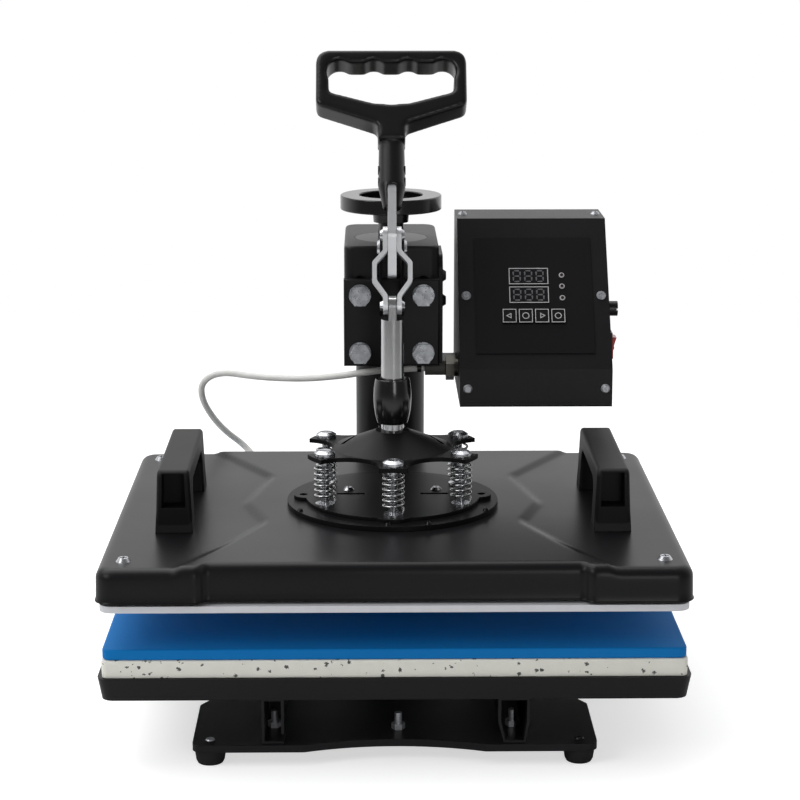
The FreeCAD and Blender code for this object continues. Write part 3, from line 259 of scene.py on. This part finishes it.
redPlastic.put(Roughness=redPlastic.noise(500, 3) * 0.14 + 0.2)
tailTube = enamel("tailTube", (0.09, 0.09, 0.08), 1.3, 0.5, 0.1, 900, 0.2)

# woven sleeve of the cable: strands cross along and round it
sleevePlan = {"along": 900.0, "round": 50.3}
sleeve = Finish("sleeve", Roughness=0.7, Sheen_Weight=0.3)
sleeveMap = sleeve.node("ShaderNodeSeparateXYZ", i0=sleeve.place("UV"))
sleeveAlong = Flow(sleeve.tree, sleeveMap.socket.node.outputs[0]) * sleevePlan["along"]
sleeveRound = Flow(sleeve.tree, sleeveMap.socket.node.outputs[1]) * sleevePlan["round"]
sleeveWeave = (sleeveAlong + sleeveRound).maths("SINE") * (sleeveAlong - sleeveRound).maths("SINE")
sleeveStain = sleeve.noise(60, 4)
sleeve.put(Base_Color=sleeve.blend(sleeveStain, (0.9, 0.9, 0.88), (0.74, 0.74, 0.71)))
sleeve.bump(sleeveWeave, 0.4, 0.0004)

fastenerBlack = (0.02, 0.02, 0.022)


def twoTone(name, first, second, edge, after):
    # bright fasteners, black ones past or before an X in millimetres
    finish = metal(name, first, second, 0.3, 0.2, (500, 500, 500), 0.3)
    across = finish.node("ShaderNodeSeparateXYZ", i0=finish.place())
    black = (across > edge * mm) if after else (across < edge * mm)
    cloud = finish.noise(160, 3)
    finish.put(Base_Color=finish.blend(black, finish.blend(cloud, first, second), fastenerBlack))
    return finish


# the screws of the mounting disc are black, in a ring about the plunger axis, the cover screws bright
discPlan = {"tones": ((0.6, 0.61, 0.64), (0.44, 0.45, 0.47)), "black": (0.03, 0.03, 0.032), "ring": (0.06, 0.09)}
platenScrews = metal("platenScrews", *discPlan["tones"], 0.26, 0.2, (500, 500, 500), 0.4)
screwShift = platenScrews.node("ShaderNodeVectorMath", {"operation": "SUBTRACT"}, i0=platenScrews.place(),
                               i1=(0.0, plungerY * mm, 0.0))
screwFlat = platenScrews.node("ShaderNodeVectorMath", {"operation": "MULTIPLY"}, i0=screwShift, i1=(1.0, 1.0, 0.0))
screwAway = platenScrews.node("ShaderNodeVectorMath", {"operation": "LENGTH"}, 1, i0=screwFlat)
screwDark = (screwAway > discPlan["ring"][0]) * (screwAway < discPlan["ring"][1])
screwBright = platenScrews.blend(platenScrews.noise(160, 3), *discPlan["tones"])
platenScrews.put(Base_Color=platenScrews.blend(screwDark, screwBright, discPlan["black"]))

zincTones = ((0.56, 0.57, 0.6), (0.4, 0.41, 0.43))
boxScrews = twoTone("boxScrews", *zincTones, 50, False)
baseScrews = twoTone("baseScrews", *zincTones, 80, True)
boxScrews.put(Metallic=0.45)
baseScrews.put(Metallic=0.6)
boltZinc.put(Metallic=0.8)

# finishes of the nodes that keep their own shape
finishes = {
    blackEnamel: ["column_tube", "column_flange", "arm_top_cap"],
    discEnamel: ["spider_plate", "mount_disc", "mount_plate"],
    gritEnamel: ["base_plate", "left_channel", "right_channel", "lower_tray", "arm_housing", "toggle_bracket",
                 "carriage_block"],
    boxEnamel: ["control_housing", "control_cover", "control_bracket"],
    handlePlastic: ["left_side_handle", "right_side_handle"],
    blackPlastic: ["handle_grip", "power_inlet", "switch_bezel", "fuse_cap", "button_down", "button_mode",
                   "button_up", "button_timer"],
    glossPlastic: ["pressure_knob", "guide_bush"],
    rubber: ["base_feet"],
    panelFilm: ["panel_overlay"],
    platenScrews: ["platen_screws"],
    boltZinc: ["clamp_bolts"],
    zinc: ["spring_bolts", "lever_pivot_pin", "spider_nut", "spring_bosses",
           "link_pins"],
    boxScrews: ["control_screws"],
    baseScrews: ["base_fasteners"],
    darkNickel: ["cable_gland"],
    blackBolt: ["grip_screws"],
    linkSteel: ["left_link", "right_link", "toggle_lever"],
    rodSteel: ["push_rod", "pressure_screw"],
    springSteel: ["springs"],
    brass: ["swivel_bushes"],
    castPlate: ["heater_plate", "heating_element"],
    displayGlass: ["display_windows"],
    lens: ["led_lenses"],
    board: ["circuit_board"],
    redPlastic: ["rocker_switch"],
    tailTube: ["gland_tail"],
}
for finish, names in finishes.items():
    for name in names:
        for place in nodes[name].material_slots:
            place.material = finish.material
print("finishes on", sum(len(names) for names in finishes.values()), "nodes")


def newPiece(name, shape, finish, body=None, smooth=None):
    mesh = bpy.data.meshes.new(name)
    shape.to_mesh(mesh)
    shape.free()
    piece = bpy.data.objects.new(name, mesh)
    bpy.context.scene.collection.objects.link(piece)
    mesh.materials.append(finish.material)
    if smooth is not None:
        mesh.shade_smooth()
        if smooth:
            mesh.set_sharp_from_angle(angle=math.radians(smooth))
    if body:
        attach(piece, body)
    return piece


# heater cable: one smooth line, parted where the head, the carriage, the rod and the platen part
cablePlan = {
    "diameter": 5,
    "route": [(24.6, 70, 222), (8, 70.3, 221.3), (-14, 80, 217.5), (-40, 104.5, 208.3), (-69.1, 128, 201.1),
              (-104.2, 150, 198), (-133, 164.5, 199.5), (-148.5, 171, 190), (-149, 177, 174.5),
              (-140.6, 186, 156.4), (-130, 191, 143.5), (-118.5, 195.8, 133.6), (-109.3, 188.3, 125),
              (-104, 175.3, 120), (-104, 160.3, 120)],
    "cuts": [2, 11],
}


def smoothLine(name, points):
    # spline through control points, given back as its own path
    data = bpy.data.curves.new(name, "CURVE")
    data.dimensions = "3D"
    data.resolution_u = 12
    spline = data.splines.new("NURBS")
    spline.points.add(len(points) - 1)
    for point, (x, y, z) in zip(spline.points, points):
        point.co = world(x, y, z).to_4d()
    spline.order_u = 3
    spline.use_endpoint_u = True
    holder = bpy.data.objects.new(name, data)
    bpy.context.scene.collection.objects.link(holder)
    return holder


def tubeAlong(holder, diameter, finish, name):
    bpy.context.view_layer.update()
    bare = bpy.data.meshes.new_from_object(holder.evaluated_get(bpy.context.evaluated_depsgraph_get()))
    path = [vertex.co.copy() for vertex in bare.vertices]
    holder.data.bevel_depth = diameter / 2 * mm
    holder.data.bevel_resolution = 6
    holder.data.use_fill_caps = True
    bpy.context.view_layer.update()
    mesh = bpy.data.meshes.new_from_object(holder.evaluated_get(bpy.context.evaluated_depsgraph_get()))
    mesh.name = name
    bpy.data.objects.remove(holder)
    tube = bpy.data.objects.new(name, mesh)
    bpy.context.scene.collection.objects.link(tube)
    mesh.materials.clear()
    mesh.materials.append(finish.material)
    mesh.shade_smooth()
    return tube, path


def pathLength(path):
    return sum((second - first).length for first, second in zip(path, path[1:]))


def halfway(first, second):
    return tuple((a + b) / 2 for a, b in zip(first, second))


def stretch(name, points, first, second, start, end, hold):
    tube, path = tubeAlong(smoothLine(name + "Line", points), cablePlan["diameter"], sleeve, name)
    world(*start)
    world(*end)
    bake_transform(tube)
    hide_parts("heater_cable")
    print(name, round(pathLength(path), 4), "m")


route = cablePlan["route"]
upperCut, lowerCut = cablePlan["cuts"]
upperJoin = halfway(route[upperCut], route[upperCut + 1])
lowerJoin = halfway(route[lowerCut], route[lowerCut + 1])


# cable tie: a flat band, with its locking head
tiePlan = {"where": (20.5, 70, 221.9), "along": (-1, 0, 0), "inner": 2.45, "outer": 3.3, "wide": 3.2,
           "head": (3.6, 2.8), "lift": 0.8, "wider": 1.2, "round": 0.5, "steps": 24}


def bandRing(name, plan, finish, body):
    inner, outer, wide = plan["inner"], plan["outer"], plan["wide"]
    shape = bmesh.new()
    corners = [(inner, -wide / 2), (outer, -wide / 2), (outer, wide / 2), (inner, wide / 2)]
    ring = [shape.verts.new((radius * mm, 0, height * mm)) for radius, height in corners]
    loop = [shape.edges.new((ring[index], ring[(index + 1) % 4])) for index in range(4)]
    bmesh.ops.spin(shape, geom=loop, cent=(0, 0, 0), axis=(0, 0, 1), angle=2 * math.pi, steps=plan["steps"],
                   use_merge=True, use_duplicate=False)
    head = bmesh.ops.create_cube(shape, size=1)
    headSize = Matrix.Diagonal([size * mm for size in plan["head"]] + [(wide + plan["wider"]) * mm, 1])
    turn = Matrix.Translation((0, (outer + plan["lift"]) * mm, 0)) @ headSize
    bmesh.ops.transform(shape, matrix=turn, verts=head["verts"])
    sides = list({edge for vertex in head["verts"] for edge in vertex.link_edges})
    bmesh.ops.bevel(shape, geom=sides, offset=plan["round"] * mm, offset_type="OFFSET", segments=2, profile=0.5,
                    affect="EDGES", material=-1)
    face = Vector(plan["along"]).to_track_quat("Z", "Y").to_matrix().to_4x4()
    bmesh.ops.transform(shape, matrix=Matrix.Translation(world(*plan["where"])) @ face, verts=shape.verts)
    bmesh.ops.recalc_face_normals(shape, faces=shape.faces)
    return newPiece(name, shape, finish, body, 35)


tie = bandRing("cableTie", tiePlan, blackPlastic, "head")
stretch("heaterCableUpper", route[:upperCut + 1] + [upperJoin], "head", "carriage", (12, 72, 220),
        (-26, 91, 213), {"with_pieces": [tie]})
stretch("heaterCableMiddle", [upperJoin] + route[upperCut + 1:lowerCut + 1] + [lowerJoin], "carriage",
        "plunger", (-30, 95, 212), (-128, 190, 146), {})
stretch("heaterCableLower", [lowerJoin] + route[lowerCut + 1:], "plunger", "platen", (-112, 192, 128),
        (-104, 166, 120), {})

# strain relief where the cable enters the cover: a flange, then ribs that get slimmer; (along, radius)
reliefPlan = {"place": (-104, 149, 120), "profile": [(0, 7.2), (3, 7.2), (3.4, 5.6), (4.6, 5.2)], "ribs": 5,
              "inner": 2.4, "thick": 4.9, "slim": 3.3, "steps": 40}
relief = bmesh.new()
outline = list(reliefPlan["profile"])
for index in range(reliefPlan["ribs"]):
    low = outline[-1][0] + 0.3
    radius = reliefPlan["thick"] + (reliefPlan["slim"] - reliefPlan["thick"]) * index / (reliefPlan["ribs"] - 1)
    outline += [(low, radius - 0.7), (low + 0.8, radius - 0.7), (low + 1, radius), (low + 1.9, radius)]
outline += [(outline[-1][0] + 0.2, reliefPlan["inner"]), (0, reliefPlan["inner"])]
ring = [relief.verts.new((radius * mm, 0, along * mm)) for along, radius in outline]
loop = [relief.edges.new((ring[index], ring[(index + 1) % len(ring)])) for index in range(len(ring))]
bmesh.ops.spin(relief, geom=loop, cent=(0, 0, 0), axis=(0, 0, 1), angle=2 * math.pi, steps=reliefPlan["steps"],
               use_merge=True, use_duplicate=False)
bmesh.ops.transform(relief, matrix=Matrix.Translation(world(*reliefPlan["place"])) @ Matrix.Rotation(
    -math.pi / 2, 4, "X"), verts=relief.verts)
bmesh.ops.recalc_face_normals(relief, faces=relief.faces)
strainRelief = newPiece("strainRelief", relief, rubber, "platen", 40)
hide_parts("cable_grommet")
print("cable dressed")


# shell drawn from a flat rectangle with a rim of rounded corners; rim steps are (outwards, height)
def rimShell(half, rim, cell):
    shape = bmesh.new()
    steps = len(rim) - 1
    counts = [max(2, round(2 * size / cell)) for size in half]

    def split(index, count, size):
        if index < 0:
            return -size, -index, -1
        if index > count:
            return size, index - count, 1
        return -size + 2 * size * index / count, 0, 0

    grid = {}
    for i in range(-steps, counts[0] + steps + 1):
        x, a, sideX = split(i, counts[0], half[0])
        for j in range(-steps, counts[1] + steps + 1):
            y, b, sideY = split(j, counts[1], half[1])
            reach, height = rim[max(a, b)]
            if a and b:
                angle = math.pi / 4 * b / a if a >= b else math.pi / 2 - math.pi / 4 * a / b
                spot = (x + sideX * reach * math.cos(angle), y + sideY * reach * math.sin(angle), height)
            else:
                spot = (x + sideX * reach, y + sideY * reach, height)
            grid[i, j] = shape.verts.new(spot)
    for i in range(-steps, counts[0] + steps):
        for j in range(-steps, counts[1] + steps):
            shape.faces.new((grid[i, j], grid[i + 1, j], grid[i + 1, j + 1], grid[i, j + 1]))
    return shape


def smoothStep(value):
    value = min(max(value, 0), 1)
    return value * value * (3 - 2 * value)


def setDown(shape):
    bmesh.ops.transform(shape, matrix=Matrix.Translation(world(0, 0, 0)) @ Matrix.Diagonal((mm, mm, mm, 1)),
                        verts=shape.verts)


# pressed cover of the heated platen: wings, a raised panel and a skirt that is set back in the middle
coverPlan = {
    "half": (182.5, 144.5), "edge": 13, "wing": 136.5, "low": 114, "bend": 7, "draft": 1.5, "lip": (0.7, 1.6),
    "cell": 2.6, "rise": 2, "slope": 5, "wall": 2,
    "panel": [(-200, 143), (-155, 143), (-102, 113), (-48, 89), (2, 105), (24, 100), (74, 89), (157, 138),
              (200, 160)],
    "recess": {"deep": 7, "from": 122.5, "over": 6, "starts": 139, "ends": 152},
}


def panelEdge(y):
    rows = coverPlan["panel"]
    for (low, first), (high, second) in zip(rows, rows[1:]):
        if y <= high:
            return first + (second - first) * (y - low) / (high - low)
    return rows[-1][1]


def coverRim():
    bend, low, wing = coverPlan["bend"], coverPlan["low"], coverPlan["wing"]
    lipOut, lipTall = coverPlan["lip"]
    last = math.radians(90 - coverPlan["draft"])
    skirtTop = wing - bend * (1 - math.cos(last))
    skirtOut = (skirtTop - low - lipTall) * math.tan(math.radians(coverPlan["draft"]))
    begin = coverPlan["edge"] - lipOut - skirtOut - bend * math.sin(last)
    rim = [(0, wing), (begin / 2, wing), (begin, wing)]
    for k in range(1, 7):
        angle = last * k / 6
        rim.append((begin + bend * math.sin(angle), wing - bend * (1 - math.cos(angle))))
    foot = coverPlan["edge"] - lipOut
    rim += [(foot - skirtOut * (1 - k / 3), skirtTop - (skirtTop - low - lipTall) * k / 3) for k in (1, 2, 3)]
    rim += [(foot + lipOut * 0.35, low + lipTall * 0.55), (coverPlan["edge"], low + lipTall * 0.3),
            (coverPlan["edge"], low)]
    return rim


cover = rimShell(coverPlan["half"], coverRim(), coverPlan["cell"])
recess = coverPlan["recess"]
for vertex in cover.verts:
    x, y, z = vertex.co
    edge = (panelEdge(y - 5) + panelEdge(y) + panelEdge(y + 5)) / 3
    lean = (panelEdge(y + 5) - panelEdge(y - 5)) / 10
    inside = (edge - abs(x)) / math.hypot(1, lean) / coverPlan["slope"] + 0.5
    share = (z - coverPlan["low"]) / (coverPlan["wing"] - coverPlan["low"])
    vertex.co.z += coverPlan["rise"] * smoothStep(inside) * smoothStep(share)
    back = smoothStep((-y - recess["starts"]) / (recess["ends"] - recess["starts"]))
    vertex.co.y += recess["deep"] * back * (1 - smoothStep((abs(x) - recess["from"]) / recess["over"]))
setDown(cover)
pressedCover = newPiece("pressedCover", cover, blackEnamel, "platen", 50)
wall = pressedCover.modifiers.new("wall", "SOLIDIFY")
wall.thickness = coverPlan["wall"] * mm
wall.offset = -1
wall.use_even_offset = True
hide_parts("platen_cover")
print("cover", len(pressedCover.data.polygons), "faces")


def moulded(name, node, finish):
    # a piece that starts from a copy of a node's shape
    source = nodes[node]
    piece = bpy.data.objects.new(name, source.data.copy())
    bpy.context.scene.collection.objects.link(piece)
    piece.matrix_world = source.matrix_world.copy()
    piece.data.materials.clear()
    piece.data.materials.append(finish.material)
    return piece


# side handles: their blocks widen a little towards the cover, from a height in millimetres down
handlePlan = {"low": 138, "high": 180, "spread": 0.16}
for side in ("left", "right"):
    low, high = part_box(side + "_side_handle")
    piece = moulded(side + "SideHandle", side + "_side_handle", handlePlastic)
    middle = (low[0] + high[0]) / 2
    turn = piece.matrix_world.copy()
    back = turn.inverted()
    for vertex in piece.data.vertices:
        spot = turn @ vertex.co
        share = (handlePlan["high"] - spot.z / mm) / (handlePlan["high"] - handlePlan["low"])
        spot.x = middle + (spot.x - middle) * (1 + handlePlan["spread"] * min(max(share, 0), 1))
        vertex.co = back @ spot
    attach(piece, "platen")
    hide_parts(side + "_side_handle")

# springs: a copy of the node's coils between the platen and the spider, its placement baked into the mesh
springPlan = {"deadEnd": 2.5}
springEnd = springPlan["deadEnd"] * mm
low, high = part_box("springs")
springCoils = moulded("springCoils", "springs", springSteel)
low[2] + springEnd
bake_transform(springCoils)
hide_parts("springs")
print("handles and springs")

# moulded grip: one skin, smoothed more and more from the low height to the high one; the neck keeps its edges
gripPlan = {"voxel": 1.0, "rounds": 18, "low": 392, "high": 402}
mouldedGrip = moulded("mouldedGrip", "handle_grip", blackPlastic)
skin = mouldedGrip.modifiers.new("skin", "REMESH")
skin.mode = "VOXEL"
skin.voxel_size = gripPlan["voxel"] * mm
bpy.context.view_layer.update()
dense = bpy.data.meshes.new_from_object(mouldedGrip.evaluated_get(bpy.context.evaluated_depsgraph_get()))
mouldedGrip.modifiers.clear()
mouldedGrip.data = dense
loop = mouldedGrip.vertex_groups.new(name="loop")
for vertex in dense.vertices:
    height = (mouldedGrip.matrix_world @ vertex.co).z / mm
    share = smoothStep((height - gripPlan["low"]) / (gripPlan["high"] - gripPlan["low"]))
    loop.add([vertex.index], share, "REPLACE")
soft = mouldedGrip.modifiers.new("soft", "SMOOTH")
soft.factor = 0.5
soft.iterations = gripPlan["rounds"]
soft.vertex_group = "loop"
dense.shade_smooth()
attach(mouldedGrip, "lever")
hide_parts("handle_grip")
print("grip", len(dense.polygons), "faces")

# foam pad and silicone mat: sheets cut by hand, with soft edges and a slightly uneven face
slabPlan = {
    "foamPad": {"node": "foam_pad", "corner": 4, "edge": 0.8, "cell": 5, "uneven": 0.25, "crown": 0.1,
                "fill": 0.95},
    "siliconeMat": {"node": "silicone_mat", "corner": 6, "edge": 1.2, "cell": 6, "uneven": 0.08, "crown": 0.25,
                    "fill": 1},
}


def slab(name, finish):
    plan = slabPlan[name]
    low, high = (Vector(corner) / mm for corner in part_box(plan["node"]))
    middle, size = (low + high) / 2, (high - low) / 2
    corner, edge = plan["corner"], plan["edge"]
    arc = [math.pi / 2 * k / 4 for k in range(5)]
    inset = corner - edge - plan["uneven"]
    rim = [(0, size.z), (inset * 0.7, size.z)]
    rim += [(inset + edge * math.sin(a), size.z - edge * (1 - math.cos(a))) for a in arc]
    walls = 4
    rim += [(inset + edge, (size.z - edge) * (1 - 2 * k / walls)) for k in range(1, walls)]
    rim += [(inset + edge * math.cos(a), -size.z + edge * (1 - math.sin(a))) for a in arc]
    shape = rimShell((size.x - corner, size.y - corner), rim, plan["cell"])
    bmesh.ops.holes_fill(shape, edges=[item for item in shape.edges if item.is_boundary], sides=0)
    for vertex in shape.verts:
        x, y, z = vertex.co
        if z < -size.z + 0.01:
            continue
        rough = noise.noise_vector(Vector((x, y, z * 2)) * 0.11) * plan["uneven"]
        side = max(abs(x) - size.x + corner, abs(y) - size.y + corner) / corner
        if side > 0.3:
            vertex.co.x += rough.x * smoothStep(side)
            vertex.co.y += rough.y * smoothStep(side)
        if z > size.z - edge:
            fall = max(abs(x) / size.x, abs(y) / size.y) ** 6
            vertex.co.z -= plan["crown"] * fall + plan["uneven"] * 0.3 * (1 + rough.z / plan["uneven"])
    bmesh.ops.transform(shape, matrix=Matrix.Translation(middle * mm) @ Matrix.Diagonal((mm, mm, mm, 1)),
                        verts=shape.verts)
    bmesh.ops.recalc_face_normals(shape, faces=shape.faces)
    piece = newPiece(name, shape, finish, "root", 60)
    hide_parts(plan["node"])
    print(name, len(piece.data.polygons), "faces")


slab("foamPad", foam)
slab("siliconeMat", silicone)

# panel drawn in its own plane: across, up the slope, outwards
panelTurn = Matrix.Translation(world(0, 30, 229)) @ Matrix.Rotation(math.radians(53.2), 4, "X")
panelPlan = {
    "film": 0.8,
    "displays": [(86, 115, 67.9, 81.6), (86, 115, 52.7, 66.4)],
    "keys": [(80.6, 90.9), (92.4, 102.7), (104.2, 114.5), (116.0, 126.3)],
    "keyRise": (36.6, 47.8), "glass": 1.4,
    "line": 0.55, "inset": (0.1, 0.25), "rise": 0.12,
    "digit": {"first": 5.9, "step": 8.4, "wide": 5.0, "tall": 8.8, "bar": 1.25, "rise": 0.08},
    "lamps": [75.7, 66.6, 57.1], "lampAcross": 124.8, "lampRing": 2.0, "lampHole": 0.64, "lampRise": 0.5,
    "mark": {"level": 2.0, "radius": 2.6, "line": 0.55, "frame": 0.5, "inset": 0.2, "rise": 0.1},
}


def corners(made):
    return [item for item in made["geom"] if isinstance(item, bmesh.types.BMVert)]


def facesAt(made):
    return list({face for vertex in made["verts"] for face in vertex.link_faces})


def ringOf(shape, face, line):
    # leaves only a border of a face
    made = bmesh.ops.inset_region(shape, faces=face, thickness=line, use_boundary=True, use_even_offset=True)
    bmesh.ops.delete(shape, geom=face, context="FACES")
    return made["faces"]


def raiseFaces(shape, faces, rise):
    raised = bmesh.ops.extrude_face_region(shape, geom=faces)
    bmesh.ops.translate(shape, vec=(0, 0, rise), verts=corners(raised))


def frameLine(shape, left, right, low, high, level, line, rise):
    made = bmesh.ops.create_grid(shape, x_segments=1, y_segments=1, size=0.5)
    turn = Matrix.Translation(((left + right) / 2, (low + high) / 2, level))
    turn = turn @ Matrix.Diagonal((right - left, high - low, 1, 1))
    bmesh.ops.transform(shape, matrix=turn, verts=made["verts"])
    raiseFaces(shape, ringOf(shape, facesAt(made), line), rise)


def segmentDigit(shape, x, y, wide, tall, level, bar, rise):
    spots = [(0, tall / 2, True), (0, 0, True), (0, -tall / 2, True)]
    spots += [(side * wide / 2, half * tall / 4, False) for side in (-1, 1) for half in (-1, 1)]
    for dx, dy, flat in spots:
        long = (wide if flat else tall / 2) - bar * 0.9
        made = bmesh.ops.create_circle(shape, cap_ends=True, segments=6, radius=bar / 2)
        for vertex in made["verts"]:
            vertex.co.x += math.copysign(long / 2 - bar / 2, vertex.co.x)
        turn = Matrix.Translation((x + dx, y + dy, level))
        if not flat:
            turn = turn @ Matrix.Rotation(math.pi / 2, 4, "Z")
        bmesh.ops.transform(shape, matrix=turn, verts=made["verts"])
        raiseFaces(shape, facesAt(made), rise)


def onPanel(shape):
    bmesh.ops.transform(shape, matrix=panelTurn @ Matrix.Diagonal((mm, mm, mm, 1)), verts=shape.verts)
    bmesh.ops.recalc_face_normals(shape, faces=shape.faces)


lines = bmesh.new()
for left, right, low, high in panelPlan["displays"]:
    across, up = panelPlan["inset"]
    frameLine(lines, left + across, right - across, low + up, high - up, panelPlan["glass"], panelPlan["line"],
              panelPlan["rise"])
onPanel(lines)
newPiece("displayFrames", lines, whiteInk, "head")
digits = bmesh.new()
for left, right, low, high in panelPlan["displays"]:
    for index in range(3):
        digit = panelPlan["digit"]
        segmentDigit(digits, left + digit["first"] + digit["step"] * index, (low + high) / 2, digit["wide"],
                     digit["tall"], panelPlan["glass"], digit["bar"], digit["rise"])
onPanel(digits)
newPiece("displayDigits", digits, digitGrey, "head")
lamps = bmesh.new()
middle, hole = panelPlan["lampAcross"], panelPlan["lampHole"]
for up in panelPlan["lamps"]:
    ring = bmesh.ops.create_circle(lamps, segments=28, radius=panelPlan["lampRing"])
    bmesh.ops.transform(lamps, matrix=Matrix.Translation((middle, up, panelPlan["film"])), verts=ring["verts"])
    rim = list({edge for vertex in ring["verts"] for edge in vertex.link_edges})
    for vertex in corners(bmesh.ops.extrude_edge_only(lamps, edges=rim)):
        vertex.co.x = middle + (vertex.co.x - middle) * hole
        vertex.co.y = up + (vertex.co.y - up) * hole
raiseFaces(lamps, lamps.faces[:], panelPlan["lampRise"])
onPanel(lamps)
newPiece("lampRings", lamps, whiteInk, "head")
low, high = panelPlan["keyRise"]
plan = panelPlan["mark"]
# key, its place in the row, sides and turn of its sign
signs = [("down", 0, 3, math.pi), ("mode", 1, 20, 0), ("up", 2, 3, 0), ("timer", 3, 8, 0)]
for name, index, sides, turn in signs:
    left, right = panelPlan["keys"][index]
    mark = bmesh.new()
    frameLine(mark, left + plan["inset"], right - plan["inset"], low + plan["inset"], high - plan["inset"],
              plan["level"], plan["frame"], plan["rise"])
    sign = bmesh.ops.create_circle(mark, cap_ends=True, segments=sides, radius=plan["radius"])
    turned = Matrix.Translation(((left + right) / 2, (low + high) / 2, plan["level"]))
    turned = turned @ Matrix.Rotation(turn, 4, "Z") @ Matrix.Rotation(0 if sides > 3 else -math.pi / 2, 4, "Z")
    bmesh.ops.transform(mark, matrix=turned, verts=sign["verts"])
    raiseFaces(mark, ringOf(mark, facesAt(sign), plan["line"]), plan["rise"])
    onPanel(mark)
    newPiece("keyMark_" + name, mark, whiteInk, "key_" + name)
print("panel marks")

# floor, backdrop and light
stagePlan = {"floor": ((0.7, 0.7, 0.7), (0.74, 0.74, 0.74)), "near": 0.6, "far": 1.5, "skyBack": 1.0,
             "skyFront": 0.18, "white": 0.6, "dusk": (-0.35, 0.6),
             # place, target, size in metres, power
             "lights": {"topLight": ((-620, 450, 1750), (0, 0, 100), (2.2, 1.6), 25),
                        "keyLight": ((-1300, -900, 1100), (0, 0, 150), (0.8, 0.8), 8),
                        "frontLight": ((500, -2200, 500), (0, 0, 250), (0.5, 0.9), 6.5)}}
floorShape = bmesh.new()
bmesh.ops.create_grid(floorShape, x_segments=1, y_segments=1, size=2)
floorFinish = Finish("floor", Roughness=0.9)
floorFinish.put(Base_Color=floorFinish.blend(floorFinish.noise(3, 2), *stagePlan["floor"]))
reach = floorFinish.node("ShaderNodeVectorMath", {"operation": "LENGTH"}, 1, i0=floorFinish.place())
fade = floorFinish.tree.nodes.new("ShaderNodeMapRange")
fade.interpolation_type = "SMOOTHSTEP"
plug(floorFinish.tree, fade.inputs["Value"], reach)
fadeInputs = {"From Min": stagePlan["near"], "From Max": stagePlan["far"], "To Min": 1, "To Max": 0}
for entry, value in fadeInputs.items():
    fade.inputs[entry].default_value = value
floorFinish.put(Alpha=Flow(floorFinish.tree, fade.outputs[0]))
shownFloor = floorFinish.node("ShaderNodeLightPath")
floorFinish.put(Emission_Color=floorFinish.blend(shownFloor, (0.0, 0.0, 0.0), (1.0, 1.0, 1.0)),
                Emission_Strength=stagePlan["white"])
floor = newPiece("floor", floorShape, floorFinish)

sky = bpy.data.worlds.new("sky")
bpy.context.scene.world = sky
sky.use_nodes = True
skyTree = sky.node_tree
background = skyTree.nodes["Background"]
seen = skyTree.nodes.new("ShaderNodeLightPath")
shown = Flow(skyTree, seen.outputs["Is Camera Ray"])
background.inputs[0].default_value = (1, 1, 1, 1)
towards = skyTree.nodes.new("ShaderNodeTexCoord")
parts = skyTree.nodes.new("ShaderNodeSeparateXYZ")
skyTree.links.new(towards.outputs["Generated"], parts.inputs[0])
glow = skyTree.nodes.new("ShaderNodeMapRange")
glow.interpolation_type = "SMOOTHSTEP"
skyTree.links.new(parts.outputs[1], glow.inputs["Value"])
glowInputs = {"From Min": stagePlan["dusk"][0], "From Max": stagePlan["dusk"][1],
              "To Min": stagePlan["skyFront"], "To Max": stagePlan["skyBack"]}
for entry, value in glowInputs.items():
    glow.inputs[entry].default_value = value
lit = Flow(skyTree, glow.outputs[0])
plug(skyTree, background.inputs[1], shown + (1 - shown) * lit)


def areaLight(name, place, target, size, power):
    data = bpy.data.lights.new(name, "AREA")
    data.shape = "RECTANGLE"
    data.size, data.size_y = size
    data.energy = power
    light = bpy.data.objects.new(name, data)
    light.location = world(*place)
    light.rotation_euler = (world(*target) - light.location).to_track_quat("-Z", "Y").to_euler()
    bpy.context.scene.collection.objects.link(light)


for name, settings in stagePlan["lights"].items():
    areaLight(name, *settings)
bpy.context.scene.view_settings.view_transform = "Standard"
print("stage set")
